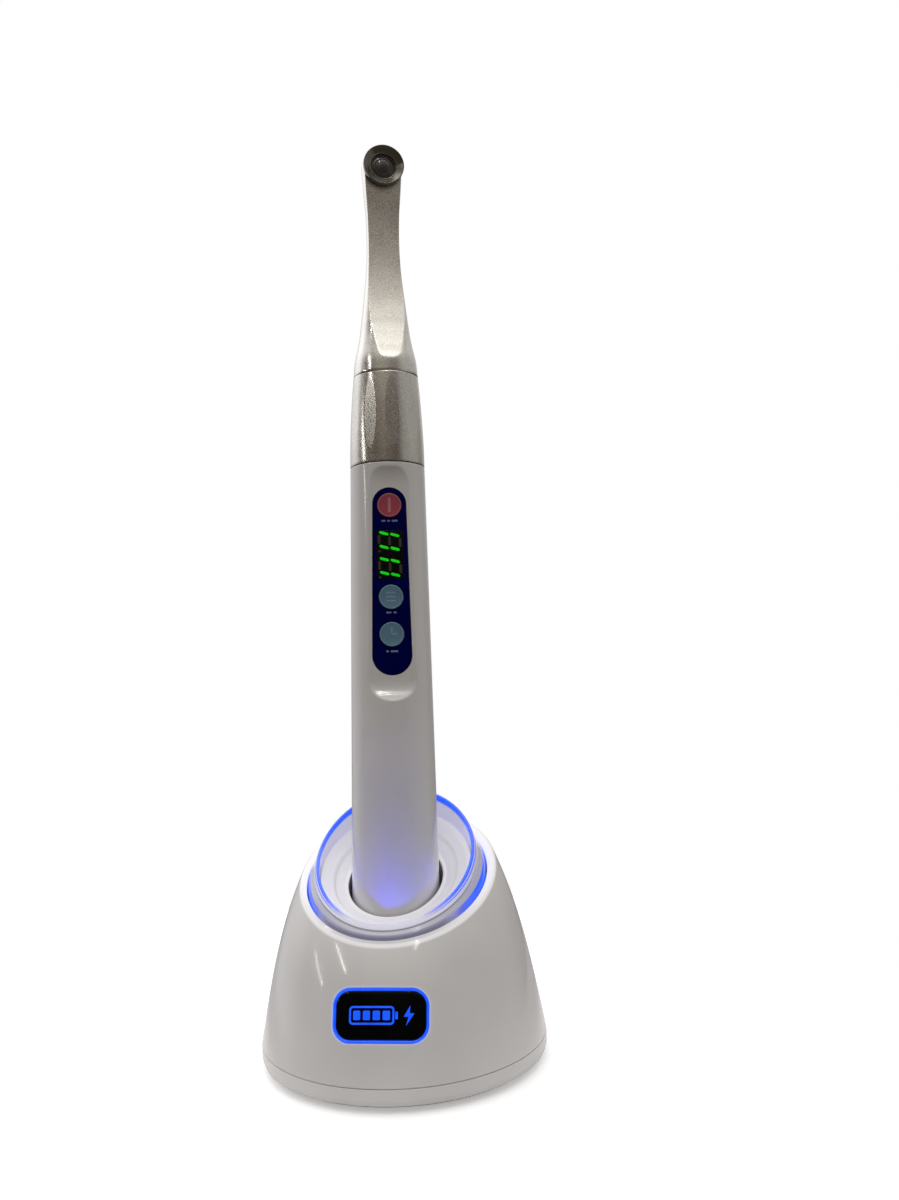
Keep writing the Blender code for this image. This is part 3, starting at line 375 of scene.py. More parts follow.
class Nodes:
    """A node tree under construction: its nodes are added by name and linked by value."""

    def __init__(self, tree):
        self.tree = tree

    def put(self, socket, value):
        if isinstance(value, bpy.types.NodeSocket):
            self.tree.links.new(value, socket)
        elif isinstance(value, tuple) and len(value) == 3 and socket.type == "RGBA":
            socket.default_value = (*value, 1.0)
        else:
            socket.default_value = value

    def add(self, kind, output=0, inputs=None, **settings):
        node = self.tree.nodes.new("ShaderNode" + kind)
        for key, value in settings.items():
            setattr(node, key, value)
        for key, value in (inputs or {}).items():
            self.put(node.inputs[key], value)
        return node.outputs[output]

    def vector(self, operation, *values, output=0):
        return self.add("VectorMath", output, dict(enumerate(values)), operation=operation)

    def ramp(self, value, low, high, to_low, to_high):
        return self.add("MapRange", inputs={"Value": value, "From Min": low, "From Max": high,
                                            "To Min": to_low, "To Max": to_high},
                        interpolation_type="SMOOTHSTEP")


class Look(Nodes):
    """A material with its Principled shader."""

    def __init__(self, name, **settings):
        self.material = bpy.data.materials.new(name)
        self.material.use_nodes = True
        super().__init__(self.material.node_tree)
        self.shader = self.tree.nodes["Principled BSDF"]
        self.place = self.add("TexCoord", "Object")
        self.set(**settings)

    def set(self, **settings):
        for key, value in settings.items():
            self.put(self.shader.inputs[key.replace("_", " ")], value)

    def linked(self, name):
        return self.shader.inputs[name].links[0].from_socket

    def noise(self, scale, detail=2.0, roughness=0.5, stretch=None):
        vector = self.vector("MULTIPLY", self.place, stretch) if stretch else self.place
        return self.add("TexNoise", inputs={"Vector": vector, "Scale": scale, "Detail": detail,
                                            "Roughness": roughness})

    def mottle(self, texture, to_low=0.0, to_high=1.0):
        """A noise's usual range, brought to these two values."""
        return self.ramp(texture, 0.3, 0.7, to_low, to_high)

    def blend(self, share, first, second, mode="MIX"):
        node = self.tree.nodes.new("ShaderNodeMix")
        node.data_type = "RGBA"
        node.blend_type = mode
        for index, value in ((0, share), (6, first), (7, second)):
            self.put(node.inputs[index], value)
        return node.outputs[2]

    def math(self, operation, first, second=0.0):
        return self.add("Math", operation=operation, inputs={0: first, 1: second})

    def axis(self, name):
        return self.add("SeparateXYZ", "XYZ".index(name), {0: self.place})

    def attribute(self, name):
        return self.add("Attribute", 2, attribute_name=name)

    def bump(self, height, strength, distance):
        return self.add("Bump", inputs={"Height": height, "Strength": strength, "Distance": distance})


def shade(colour, factor, lift=0.0):
    return tuple(min(1.0, c * factor + lift) for c in colour)


def gloss_white(name, colour=WHITE):
    """Moulded gloss plastic: faint flow marks, orange peel, fine dust and soft handling wear."""
    look = Look(name)
    flow = look.noise(38.0, 3.0)
    dust = look.noise(2600.0, 1.0)
    tint = look.blend(look.mottle(flow), shade(colour, 0.94), colour)
    specks = look.ramp(dust, 0.70, 0.78, 0.0, 0.35)
    tint = look.blend(specks, tint, shade(colour, 0.72))
    wear = look.noise(120.0, 4.0, 0.6)
    peel = look.noise(420.0, 2.0)
    fine = look.noise(5200.0, 1.0)
    height = look.math("ADD", look.math("MULTIPLY", peel, 0.8), look.math("MULTIPLY", fine, 0.08))
    look.set(Base_Color=tint, Roughness=look.ramp(wear, 0.35, 0.75, 0.10, 0.20),
             Normal=look.bump(height, 0.12, 0.00006), IOR=1.50, Coat_Weight=0.25, Coat_Roughness=0.05)
    return look


def satin_metal(name, colour, dark, roughness=0.33, flake=3600.0):
    """Blasted and plated metal with a fine flake grain."""
    look = Look(name, Metallic=1.0)
    grain = look.noise(flake, 1.0, 0.6)
    cells = look.add("TexVoronoi", inputs={"Vector": look.place, "Scale": flake * 0.8}, output=1)
    spark = look.add("SeparateColor", inputs={0: cells})
    cloud = look.noise(110.0, 3.0)
    tint = look.blend(look.mottle(grain), dark, colour)
    tint = look.blend(look.ramp(spark, 0.88, 1.0, 0.0, 0.30), tint, shade(colour, 1.2))
    rough = look.math("ADD", look.mottle(grain, roughness - 0.05, roughness + 0.07),
                      look.mottle(cloud, -0.03, 0.03))
    look.set(Base_Color=tint, Roughness=rough, Normal=look.bump(grain, 0.10, 0.00002))
    return look


def turned_metal(name, colour, roughness):
    """Lathe-turned metal: rings of fine tool marks."""
    look = Look(name, Metallic=1.0)
    x = look.axis("X")
    y = look.axis("Y")
    radius = look.math("SQRT", look.math("ADD", look.math("MULTIPLY", x, x), look.math("MULTIPLY", y, y)))
    wave = look.math("SINE", look.math("MULTIPLY", radius, 20800.0))
    marks = look.noise(900.0, 2.0, stretch=(0.3, 0.3, 2.5))
    grain = look.noise(4200.0, 1.0)
    tint = look.blend(look.mottle(marks), shade(colour, 0.8), colour)
    look.set(Base_Color=tint, Roughness=look.mottle(grain, roughness - 0.04, roughness + 0.06),
             Normal=look.bump(look.math("ADD", look.math("MULTIPLY", wave, 0.3), grain), 0.18, 0.00002))
    return look


def plain_plastic(name, colour, roughness=0.4, grain=1800.0, strength=0.2, shine=0.5):
    """Moulded plastic or rubber with a fine grain."""
    look = Look(name)
    texture = look.noise(grain, 2.0)
    cloud = look.noise(90.0, 3.0)
    tint = look.blend(look.mottle(cloud), shade(colour, 0.78), colour)
    tint = look.blend(look.ramp(texture, 0.62, 0.75, 0.0, 0.3), tint, shade(colour, 1.5, 0.01))
    look.set(Base_Color=tint, Roughness=look.mottle(texture, roughness - 0.06, roughness + 0.08),
             Normal=look.bump(texture, strength, 0.00004), Specular_IOR_Level=shine)
    return look


def lit_plastic(name, colour, strength):
    """A light guide: bright, a little uneven along its length."""
    look = Look(name, Roughness=0.3)
    cloud = look.noise(260.0, 2.0)
    grain = look.noise(2400.0, 1.0)
    look.set(Base_Color=shade(colour, 0.5), Emission_Color=look.blend(
        look.mottle(grain, 0.0, 0.25), colour, shade(colour, 0.7)),
        Emission_Strength=look.ramp(cloud, 0.25, 0.75, strength * 0.8, strength * 1.1))
    return look


def circuit_board(name):
    look = Look(name)
    tracks = look.add("TexBrick", inputs={"Vector": look.place, "Scale": 520.0, "Mortar Size": 0.03,
                                          "Color1": (0.010, 0.10, 0.035), "Color2": (0.012, 0.13, 0.05),
                                          "Mortar": (0.30, 0.22, 0.08)})
    grain = look.noise(1500.0, 2.0)
    look.set(Base_Color=tracks, Roughness=look.mottle(grain, 0.3, 0.5),
             Normal=look.bump(grain, 0.2, 0.00003))
    return look


def socket_white():
    """The dish's plastic, with a painted glow of the ring's light on its upper face and painted shade on its
    hole's wall.
    """
    look = gloss_white("socket_white", (0.80, 0.79, 0.80))
    off_axis = look.math("SUBTRACT", look.axis("Y"), look.math("MULTIPLY", look.axis("Z"), tan(LEAN)))
    across = look.add("CombineXYZ", inputs={0: look.axis("X"),
                                            1: look.math("SUBTRACT", off_axis, AXIS_FOOT_Y)})
    radius = look.vector("LENGTH", across, output=1)
    outside = look.ramp(radius, SOCKET_RADIUS, SOCKET_RADIUS + 0.0004, 0.0, 1.0)
    # Painted glow: the ring's light is painted as faint emission on the dish's upper face, outside the hole.
    painted_ring_glow = look.math("MULTIPLY", outside, look.ramp(look.axis("Z"), 0.040, 0.046, 0.0, 0.13))
    look.set(Emission_Color=(0.92, 0.92, 1.0), Emission_Strength=painted_ring_glow)
    # Painted shade: the hole's wall is given a dark colour where it lies in shade.
    look.set(Base_Color=look.blend(outside, (0.34, 0.33, 0.34), look.linked("Base Color")))
    return look.material


def head_silver():
    """The head's metal: its flat is blasted, and its round sides are smoother."""
    look = satin_metal("head_silver", (0.98, 0.94, 0.86), (0.76, 0.73, 0.665), 0.30, 3200.0)
    flat, rough, tint = look.attribute("flat"), look.linked("Roughness"), look.linked("Base Color")
    side = look.blend(1.0, tint, (0.86, 0.865, 0.88), "MULTIPLY")
    look.set(Roughness=look.math("ADD", rough, look.ramp(flat, 0.0, 1.0, -0.11, 0.0)),
             Base_Color=look.blend(flat, side, tint))
    return look.material


LOOKS = {
    "white_gloss": gloss_white("base_white_gloss").material,
    "pen_white": gloss_white("pen_white_gloss").material,
    "socket_white": socket_white(),
    "head_silver": head_silver(),
    "circuit_board": circuit_board("circuit_board").material,
}
for maker, table in (
        (satin_metal, {
            "satin_silver": ("satin_silver", (0.76, 0.73, 0.675), (0.56, 0.535, 0.485), 0.21, 3000.0),
        }),
        (turned_metal, {
            "dark_steel": ("dark_turned_steel", (0.24, 0.225, 0.19), 0.20),
            "plated_steel": ("plated_steel", (0.56, 0.57, 0.59), 0.35),
            "bronze": ("bearing_bronze", (0.60, 0.42, 0.20), 0.35),
            "gold": ("gold_plating", (0.83, 0.62, 0.28), 0.22),
            "copper": ("bare_copper", (0.72, 0.38, 0.25), 0.32),
            "reflector": ("reflector_cup", (0.20, 0.19, 0.175), 0.22),
        }),
        (plain_plastic, {
            "rubber": ("dark_rubber", (0.030, 0.030, 0.032), 0.7, 1500.0, 0.5),
            "black_plastic": ("black_plastic", (0.020, 0.020, 0.021), 0.42),
            "navy_panel": ("navy_foil", (0.0002, 0.0012, 0.085), 0.36, 2600.0, 0.10, 0.03),
            "red_key": ("red_key", (0.50, 0.085, 0.125), 0.42, 2600.0, 0.15, 0.2),
            "blue_key": ("blue_grey_key", (0.16, 0.31, 0.43), 0.42, 2600.0, 0.15, 0.2),
            "red_rim": ("red_key_rim", (0.62, 0.24, 0.27), 0.45, 2600.0, 0.1, 0.2),
            "blue_rim": ("blue_key_rim", (0.30, 0.44, 0.55), 0.45, 2600.0, 0.1, 0.2),
            "print": ("pale_print", (0.24, 0.30, 0.42), 0.5, 2600.0, 0.1, 0.2),
            "smoked_window": ("smoked_window", (0.0025, 0.004, 0.0025), 0.12, 900.0, 0.03, 0.2),
            "unlit_bar": ("unlit_bar", (0.070, 0.062, 0.050), 0.4, 2600.0, 0.1, 0.2),
            "black_window": ("black_window", (0.0010, 0.0010, 0.0014), 0.09, 700.0, 0.02, 0.12),
            "cell_wrap": ("cell_wrap", (0.04, 0.12, 0.40), 0.35),
            "emitter": ("emitter_phosphor", (0.55, 0.45, 0.12), 0.4),
        }),
        (lit_plastic, {
            "lit_bar": ("lit_bar", (0.002, 0.60, 0.004), 0.85),
            "lit_blue": ("lit_blue", (0.004, 0.090, 1.0), 1.0),
        })):
    LOOKS.update((slot, maker(*values).material) for slot, values in table.items())


def paint(item, material):
    item.data.materials.clear()
    item.data.materials.append(material)


def piece(item, body, look, slot, *nodes):
    """Gives a new piece its look and its body, and hides the CAD nodes it stands for; its slot argument is
    not used.
    """
    paint(item, LOOKS[look] if isinstance(look, str) else look)
    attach(item, body)
    if nodes:
        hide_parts(*nodes)


def decal(name, outline, depth, height, place, body, look, slot):
    """A thin raised mark that starts a little way under the face it lies on."""
    piece(prism(name, outline, -depth, height, place), body, look, slot)


# ---- base ----

AROUND = 320


def angles(count=AROUND):
    return [TURN * k / count for k in range(count)]


def slanted_ring(radius, centre_y, height, slope):
    return [Vector((radius * cos(a), centre_y + radius * sin(a), height + radius * sin(a) * slope))
            for a in angles()]


def dome_point(angle, rise, inset=0.0):
    bottom = SEAM_HEIGHT + SEAM_GAP
    draw_in = 0.68 * rise + 0.32 * rise ** 3.6
    radius = BASE_RADIUS + (LIP_RADIUS - BASE_RADIUS) * draw_in - inset
    lip = LIP_HEIGHT + LIP_RADIUS * sin(angle) * LIP_SLOPE
    return Vector((radius * cos(angle), LIP_CENTRE_Y * draw_in + radius * sin(angle),
                   bottom + (lip - bottom) * rise))


def dome_ring(rise, inset=0.0):
    return [dome_point(a, rise, inset) for a in angles()]


def mouth_ring(radius, height, centre_y=MOUTH_CENTRE_Y):
    return slanted_ring(radius, centre_y, height + (centre_y - MOUTH_CENTRE_Y) * MOUTH_SLOPE, MOUTH_SLOPE)


def window_matrix():
    centre = dome_point(FRONT, WINDOW_RISE)
    step = dome_point(FRONT, WINDOW_RISE + 0.1) - dome_point(FRONT, WINDOW_RISE - 0.1)
    tilt = atan2(step.y, step.z)
    return Matrix.Translation(centre) @ Matrix.Rotation(radians(90) - tilt, 4, "X")


WINDOW = window_matrix()
WINDOW_INVERSE = WINDOW.inverted()


def on_dome(x, y, inset=0.0):
    """The dome's point that lies at (x, y) in the window's own frame."""
    angle, rise = FRONT + x / 0.036, WINDOW_RISE + y / 0.034  # a first guess, made exact below
    step = 1e-4
    for _ in range(4):
        here = WINDOW_INVERSE @ dome_point(angle, rise, inset)
        by_angle = (WINDOW_INVERSE @ dome_point(angle + step, rise, inset) - here) / step
        by_rise = (WINDOW_INVERSE @ dome_point(angle, rise + step, inset) - here) / step
        miss_x, miss_y = x - here.x, y - here.y
        det = by_angle.x * by_rise.y - by_angle.y * by_rise.x
        angle += (miss_x * by_rise.y - miss_y * by_rise.x) / det
        rise += (by_angle.x * miss_y - by_angle.y * miss_x) / det
    return dome_point(angle, rise, inset)


def window_outline(shrink):
    base = dense(rounded_rectangle(WINDOW_WIDTH, WINDOW_HEIGHT, WINDOW_CORNER, 20))
    return offset(base, shrink) if shrink else base


def dense(outline, step=0.0006):
    """The same outline with no side longer than the step."""
    points = []
    for k, p in enumerate(outline):
        after = outline[(k + 1) % len(outline)]
        count = max(1, ceil((after - p).length / step))
        points += [p.lerp(after, i / count) for i in range(count)]
    return points


def draped(outline, inset):
    return [on_dome(p.x, p.y, inset) for p in outline]


def build_base():
    rings = [dome_ring(0.0, 0.0003), dome_ring(0.0022, 0.00012), dome_ring(0.0050, 0.00003), dome_ring(0.009)]
    rings += [dome_ring(0.012 + 0.973 * k / 64) for k in range(65)]
    crest = slanted_ring(LIP_RADIUS - 0.0006, LIP_CENTRE_Y, LIP_HEIGHT + LIP_ROUNDING, LIP_SLOPE)
    mouth = mouth_ring(MOUTH_RADIUS, MOUTH_HEIGHT)
    corner = mix(dome_ring(1.0), crest, 0.35)
    rings += round_over(dome_ring(0.990), corner, mix(crest, mouth, 0.10), 8)
    rings += [mix(crest, mouth, share) for share in (0.25, 0.4, 0.55, 0.7, 0.8)]
    rings += round_over(mix(crest, mouth, 0.86), mouth, mouth_ring(MOUTH_RADIUS, MOUTH_HEIGHT - 0.0004), 5)
    rings.append(mouth_ring(MOUTH_RADIUS, MOUTH_HEIGHT - MOUTH_DEPTH))
    rings += [dome_ring(rise, SHELL_WALL) for rise in (0.88, 0.66, 0.4, 0.0)]
    shell = skin("base_shell_moulding", rings, closed=True)
    cut(shell, prism("window_cut", window_outline(-0.00012), -0.007, 0.004, WINDOW))
    cut(shell, turned("inlet_cut", [(0.0044, 0.030), (0.0044, 0.050)], INLET, 64))
    piece(shell, "root", base_white(), "white_gloss", "base_shell")

    floor_low = PAD_THICKNESS + 0.0002
    wall = BASE_RADIUS - PLATE_WALL
    profile = [(BASE_RADIUS - 0.0022, floor_low), (BASE_RADIUS - 0.0006, floor_low + 0.0009),
               (BASE_RADIUS, floor_low + 0.0024), (BASE_RADIUS, SEAM_HEIGHT), (wall, SEAM_HEIGHT),
               (wall, floor_low + PLATE_FLOOR)]
    profile = fillet(profile, 0.0, 6, False, {1: 0.0012, 2: 0.0016, 3: 0.0002})
    plate = turned("base_plate_moulding", profile, segments=AROUND)
    for k in range(4):
        angle = radians(45 + 90 * k)
        place = Matrix.Translation((SCREW_CIRCLE * cos(angle), SCREW_CIRCLE * sin(angle), 0.0))
        cut(plate, turned("screw_well", [(0.0029, 0.0), (0.0029, 0.0027), (0.0016, 0.0027), (0.0016, 0.006)],
                          place, 40))
    cut(plate, turned("pad_seat", [(0.0303, 0.0), (0.0303, PAD_THICKNESS + 0.0005)], None, 96))
    piece(plate, "root", "white_gloss", "white_gloss", "base_plate")


def base_white():
    """The dome's plastic, with a painted glow of the window's light guide around the window and a painted
    glow of the ring's light on the lip.
    """
    look = gloss_white("dome_white_gloss")
    # Painted glow: the window's blue light is painted as emission on the dome around the window, at the front
    # only.
    local = look.add("Mapping", vector_type="TEXTURE", inputs={
        "Vector": look.place, "Location": WINDOW.to_translation(), "Rotation": WINDOW.to_euler()})
    half = Vector((WINDOW_WIDTH / 2 - WINDOW_CORNER, WINDOW_HEIGHT / 2 - WINDOW_CORNER, 0.0))
    size = look.vector("ABSOLUTE", look.vector("MULTIPLY", local, (1.0, 1.0, 0.0)))
    past = look.vector("MAXIMUM", look.vector("SUBTRACT", size, half), (0.0, 0.0, 0.0))
    away = look.vector("LENGTH", past, output=1)
    painted_window_halo = look.ramp(away, WINDOW_CORNER, WINDOW_CORNER + 0.0012, 1.0, 0.0)
    near = look.ramp(look.axis("Y"), -0.010, -0.020, 0.0, 1.0)
    painted_window_halo = look.math("MULTIPLY", look.math("MULTIPLY", painted_window_halo, painted_window_halo), near)
    # Painted glow: the ring's white light is painted as emission on the lip's land.
    above = look.math("SUBTRACT", look.axis("Z"), look.math("MULTIPLY", look.axis("Y"), LIP_SLOPE))
    lip = LIP_HEIGHT - LIP_CENTRE_Y * LIP_SLOPE
    painted_ring_glow = look.ramp(above, lip - 0.0004, lip + 0.0001, 0.0, 0.27)
    # Blue for the painted glow round the window, white for the painted glow on the lip.
    glow = look.blend(look.math("GREATER_THAN", painted_ring_glow, 0.001), (0.066, 0.09, 0.30), (0.93, 0.93, 1.0))
    look.set(Emission_Color=glow, Emission_Strength=look.math("ADD", painted_window_halo, painted_ring_glow))
    return look.material


def socket_ring(radius, height, slope):
    across = Vector((0.0, cos(LEAN), -sin(LEAN)))
    along = Vector((0.0, sin(LEAN), cos(LEAN)))
    foot = Vector((0.0, AXIS_FOOT_Y, 0.0))
    centre_y = AXIS_FOOT_Y + height * tan(LEAN)
    points = []
    for a in angles():
        start = foot + across * (radius * sin(a)) + Vector((radius * cos(a), 0.0, 0.0))
        run = (height + (start.y - centre_y) * slope - start.z) / (along.z - along.y * slope)
        points.append(start + along * run)
    return points


def square_ring(radius, position):
    return [STRAIGHT_PEN @ Vector((radius * cos(a), radius * sin(a), position)) for a in angles()]


def build_socket():
    outer = SOCKET_RADIUS + SOCKET_WALL
    edge = socket_ring(SOCKET_RADIUS, HOLE_HEIGHT + 0.0002, HOLE_SLOPE)
    rim = socket_ring(SOCKET_RADIUS + 0.0003, HOLE_HEIGHT + 0.0002, HOLE_SLOPE)
    dish = slanted_ring(DISH_RADIUS, RING_CENTRE_Y, DISH_HEIGHT, DISH_SLOPE)
    rings = [square_ring(SOCKET_FLOOR_RADIUS, SOCKET_FLOOR),
             socket_ring(SOCKET_RADIUS, HOLE_HEIGHT - 0.0025, HOLE_SLOPE)]
    rings += round_over(socket_ring(SOCKET_RADIUS, HOLE_HEIGHT - 0.0002, HOLE_SLOPE), edge, rim, 7)
    for k in range(1, 33):
        share = k / 34
        lift = -0.00030 * smooth((share - 0.02) / 0.10) + 0.00045 * smooth((share - 0.42) / 0.13)
        lift -= 0.00015 * smooth((share - 0.80) / 0.2)
        ring = mix(rim, dish, share)
        rings.append([p + Vector((0.0, 0.0, lift)) for p in ring])
    rings += round_over(mix(rim, dish, 0.985), dish,
                        slanted_ring(DISH_RADIUS, RING_CENTRE_Y, DISH_HEIGHT - 0.0003, DISH_SLOPE), 4)
    rings.append(slanted_ring(DISH_RADIUS, RING_CENTRE_Y, DISH_HEIGHT - DISH_THICKNESS, DISH_SLOPE))
    rings.append(socket_ring(outer, HOLE_HEIGHT - DISH_THICKNESS - 0.0006, HOLE_SLOPE))
    rings.append(square_ring(outer, SOCKET_BOTTOM))
    cup = skin("socket_moulding", rings)
    pin_holes(cup, STRAIGHT_PEN, 0.0012, 0.010, 0.030, 32)
    piece(cup, "root", "socket_white", "white_gloss", "socket_cup")


# Vertex numbers for the ring: its blue light, then a painted blue cast, a painted highlight, a painted shade
# and a painted white glow.
RING_BANDS = ("glow", "painted_blue_cast", "pale", "painted_shade_band", "painted_white_glow")


def ring_look():
    """Clear acrylic, edge lit in blue: the light leaves it along its rim and its foot. Its colour also
    carries a painted blue cast on the foot, a painted highlight on the upper face and inner wall, painted
    shade in the groove and on the lower front, and a painted white glow.
    """
    look = Look("edge_lit_acrylic", IOR=1.49)
    glow, painted_blue_cast, pale, painted_shade_band, painted_white_glow = (look.attribute(name) for name in RING_BANDS)
    streak = look.noise(700.0, 2.0)
    fine = look.noise(3000.0, 1.0)
    # The base colour carries a painted blue cast, a painted highlight and a painted shade band, each from its
    # vertex number.
    colour = look.blend(painted_blue_cast, (0.62, 0.61, 0.63), (0.40, 0.41, 0.74))
    colour = look.blend(pale, colour, (0.86, 0.85, 0.90))
    colour = look.blend(painted_shade_band, colour, (0.24, 0.23, 0.27))
    colour = look.blend(look.ramp(fine, 0.35, 0.7, 0.0, 0.12), colour, (0.40, 0.40, 0.48))
    colour = look.blend(glow, colour, (0.004, 0.03, 0.35))
    power = look.math("MULTIPLY", glow, look.ramp(streak, 0.25, 0.75, 0.95, 1.15))
    # A painted white glow is added to the emission, as strong as its vertex number.
    power = look.math("MAXIMUM", power, painted_white_glow)
    shade = look.blend(look.ramp(glow, 0.0, 0.45, 0.0, 1.0), (0.86, 0.86, 1.0), (0.006, 0.085, 1.0))
    look.set(Base_Color=colour, Emission_Color=shade, Emission_Strength=power,
             Roughness=look.mottle(fine, 0.05, 0.10), Normal=look.bump(streak, 0.05, 0.00005),
             Transmission_Weight=0.10, Coat_Weight=0.5, Coat_Roughness=0.03)
    return look.material


def mark_points(item, name, numbers):
    """Gives every vertex a number that the materials read by name."""
    item.data.attributes.new(name, "FLOAT", "POINT").data.foreach_set("value", numbers)


def side_light(angle, low, high):
    """0 at the front of the ring, 1 at its sides and back."""
    off_front = abs(atan2(sin(angle - FRONT), cos(angle - FRONT)))
    return smooth((off_front - radians(low)) / radians(high - low))


def build_ring():
    foot = mouth_ring(RING_OUTER, RING_BOTTOM_HEIGHT)
    shoulder = mouth_ring(RING_OUTER, RING_EDGE_HEIGHT)
    crest_out = slanted_ring(RING_INNER + 0.0007, RING_CENTRE_Y + 0.0001, RING_TOP_HEIGHT, RING_TOP_SLOPE)
    crest_in = slanted_ring(RING_INNER, RING_CENTRE_Y, RING_TOP_HEIGHT, RING_TOP_SLOPE)
    inner = mouth_ring(RING_INNER, RING_BOTTOM_HEIGHT, RING_CENTRE_Y)
    rows = [(foot, 1.0, 0, 0, 0.5), (mix(foot, shoulder, 0.6), 1.0, 0, 0, 0.6)]
    for ring in round_over(mix(foot, shoulder, 0.86), shoulder, mix(shoulder, crest_out, 0.05), 5):
        rows.append((ring, 1.0, 0, 0, 0.7))
    out = [Vector((cos(a) * 0.6, sin(a) * 0.6, 0.8)) for a in angles()]
    for k in range(1, 73):
        share = 0.05 + 0.87 * k / 72
        wave = -0.00026 * exp(-((share - 0.60) / 0.030) ** 2) + 0.00014 * sin(share * 9.0)
        ring = [p + v * wave for p, v in zip(mix(shoulder, crest_out, share), out)]
        foot_band = 1 - smooth((share - 0.24) / 0.05)
        rim_band = smooth((share - 0.80) / 0.03) * (1 - smooth((share - 0.87) / 0.02))
        # upper marks the painted highlight on the upper face; groove and lower mark painted shade in the
        # groove and on the lower face.
        upper = smooth((share - 0.63) / 0.06)
        groove = exp(-((share - 0.60) / 0.028) ** 2)
        lower = 0.55 * (1 - smooth((share - 0.05) / 0.45))
        rows.append((ring, foot_band, 0.8 * rim_band, 0.8 * upper, max(0.75 * groove, lower)))
    crest = round_over(mix(shoulder, crest_out, 0.94), crest_out, mix(crest_out, crest_in, 0.3), 4)
    crest += round_over(mix(crest_out, crest_in, 0.7), crest_in, mix(crest_in, inner, 0.03), 4)
    rows += [(ring, 0, 1.0, 0.5, 0) for ring in crest]
    for share in (0.05, 0.08, 0.10, 0.12, 0.14, 0.17, 0.25, 0.5, 0.8, 1.0):
        fade = smooth((share - 0.08) / 0.05)
        rows.append((mix(crest_in, inner, share), 0, 1.0 - fade, fade, 0))
    item = skin("edge_lit_ring", [row[0] for row in rows], closed=True)
    values = []
    # Per vertex: blue light (weaker at the front), painted blue cast, painted highlight, painted shade
    # (strongest at the front) and painted white glow (stronger at the front).
    for _, low_band, high_band, white, dark in rows:
        for a in angles():
            front = 1 - side_light(a, 35, 80)
            foot_light = low_band * (0.02 + 0.98 * side_light(a, 34, 78))
            rim_light = high_band * (0.10 + 0.90 * side_light(a, 22, 60))
            values.append((max(foot_light, rim_light), max(0.8 * low_band, 0.15 * front), white,
                           dark * (0.25 + 0.75 * front),
                           (0.10 + 0.27 * white) * (1 - dark) * (0.45 + 0.55 * front)))
    for name, numbers in zip(RING_BANDS, zip(*values)):
        mark_points(item, name, numbers)
    piece(item, "root", ring_look(), "clear_acrylic", "light_ring")


def gauge_plate(name, outline):
    """A thin lit plate that follows the dome, its edge rounded."""
    bevel = 0.00005
    outline = dense(outline, 0.0004)
    rings = [draped(outline, -GAUGE_FOOT), draped(outline, -(GAUGE_FACE - bevel)),
             draped(offset(outline, bevel), -GAUGE_FACE)]
    centre = sum(outline, Vector((0.0, 0.0))) / len(outline)
    for share in (0.66, 0.33, 0.05):
        rings.append([on_dome(centre.x + (p.x - centre.x) * share, centre.y + (p.y - centre.y) * share,
                              -GAUGE_FACE) for p in outline])
    piece(skin(name, rings), "root", "lit_blue", "lit_blue")


def gauge_loop(name, outer, thickness):
    outer = dense(outer, 0.0004)
    inner = offset(outer, thickness)
    edge = -GAUGE_FACE + 0.00004
    rings = [draped(outer, -GAUGE_FOOT), draped(outer, edge), draped(offset(outer, 0.00005), -GAUGE_FACE),
             draped(offset(inner, -0.00005), -GAUGE_FACE), draped(inner, edge), draped(inner, -GAUGE_FOOT)]
    piece(skin(name, rings, closed=True), "root", "lit_blue", "lit_blue")


def build_window():
    outer = window_outline(0.0)
    inner = window_outline(WINDOW_FRAME)
    rings = [draped(outer, 0.0018), draped(offset(outer, 0.00004), 0.0004)]
    for k in range(7):
        share = k / 6
        shape = window_outline(0.00006 + (WINDOW_FRAME - 0.00012) * share)
        rings.append(draped(shape, 0.0002 - 0.00022 * sin(pi * share)))
    rings += [draped(offset(inner, -0.00004), 0.0004), draped(inner, 0.0018)]
    piece(skin("window_light_guide", rings, closed=True), "root", "lit_blue", "lit_blue",
          "window_light_frame")

    edge = WINDOW_FRAME + 0.00012
    rings = [draped(window_outline(edge), 0.0015), draped(window_outline(edge), 0.00030),
             draped(window_outline(edge + 0.00006), 0.00018), draped(window_outline(edge + 0.0002), 0.00012)]
    full = window_outline(edge + 0.0002)
    for k in range(1, 13):
        share = 1 - k / 12.6
        rings.append([on_dome(p.x * share, p.y * share, 0.0001) for p in full])
    piece(skin("window_glass", rings), "root", "black_window", "black_window", "window_lens")
    build_charge_icon()


def build_charge_icon():
    """A lit charge gauge in place of the photograph's wording."""
    gauge_loop("gauge_outline", rounded_rectangle(0.0125, 0.0048, 0.0010, 8, (-0.0022, 0.0)), 0.0005)
    gauge_plate("gauge_tip", rounded_rectangle(0.0007, 0.0020, 0.0003, 5, (0.00465, 0.0)))
    for k in range(4):
        place = (-0.0063 + 0.00273 * k, 0.0)
        gauge_plate(f"gauge_bar_{k + 1}", rounded_rectangle(0.0020, 0.0024, 0.0003, 5, place))
    bolt = [Vector((0.0083, 0.0026)), Vector((0.0066, -0.0003)), Vector((0.0079, -0.0003)),
            Vector((0.0072, -0.0026)), Vector((0.0094, 0.0006)), Vector((0.0081, 0.0006))]
    bolt = dense(bolt, 0.0004)
    rings = [draped(bolt, -GAUGE_FOOT), draped(bolt, -GAUGE_FACE)]
    piece(skin("gauge_bolt", rings), "root", "lit_blue", "lit_blue")


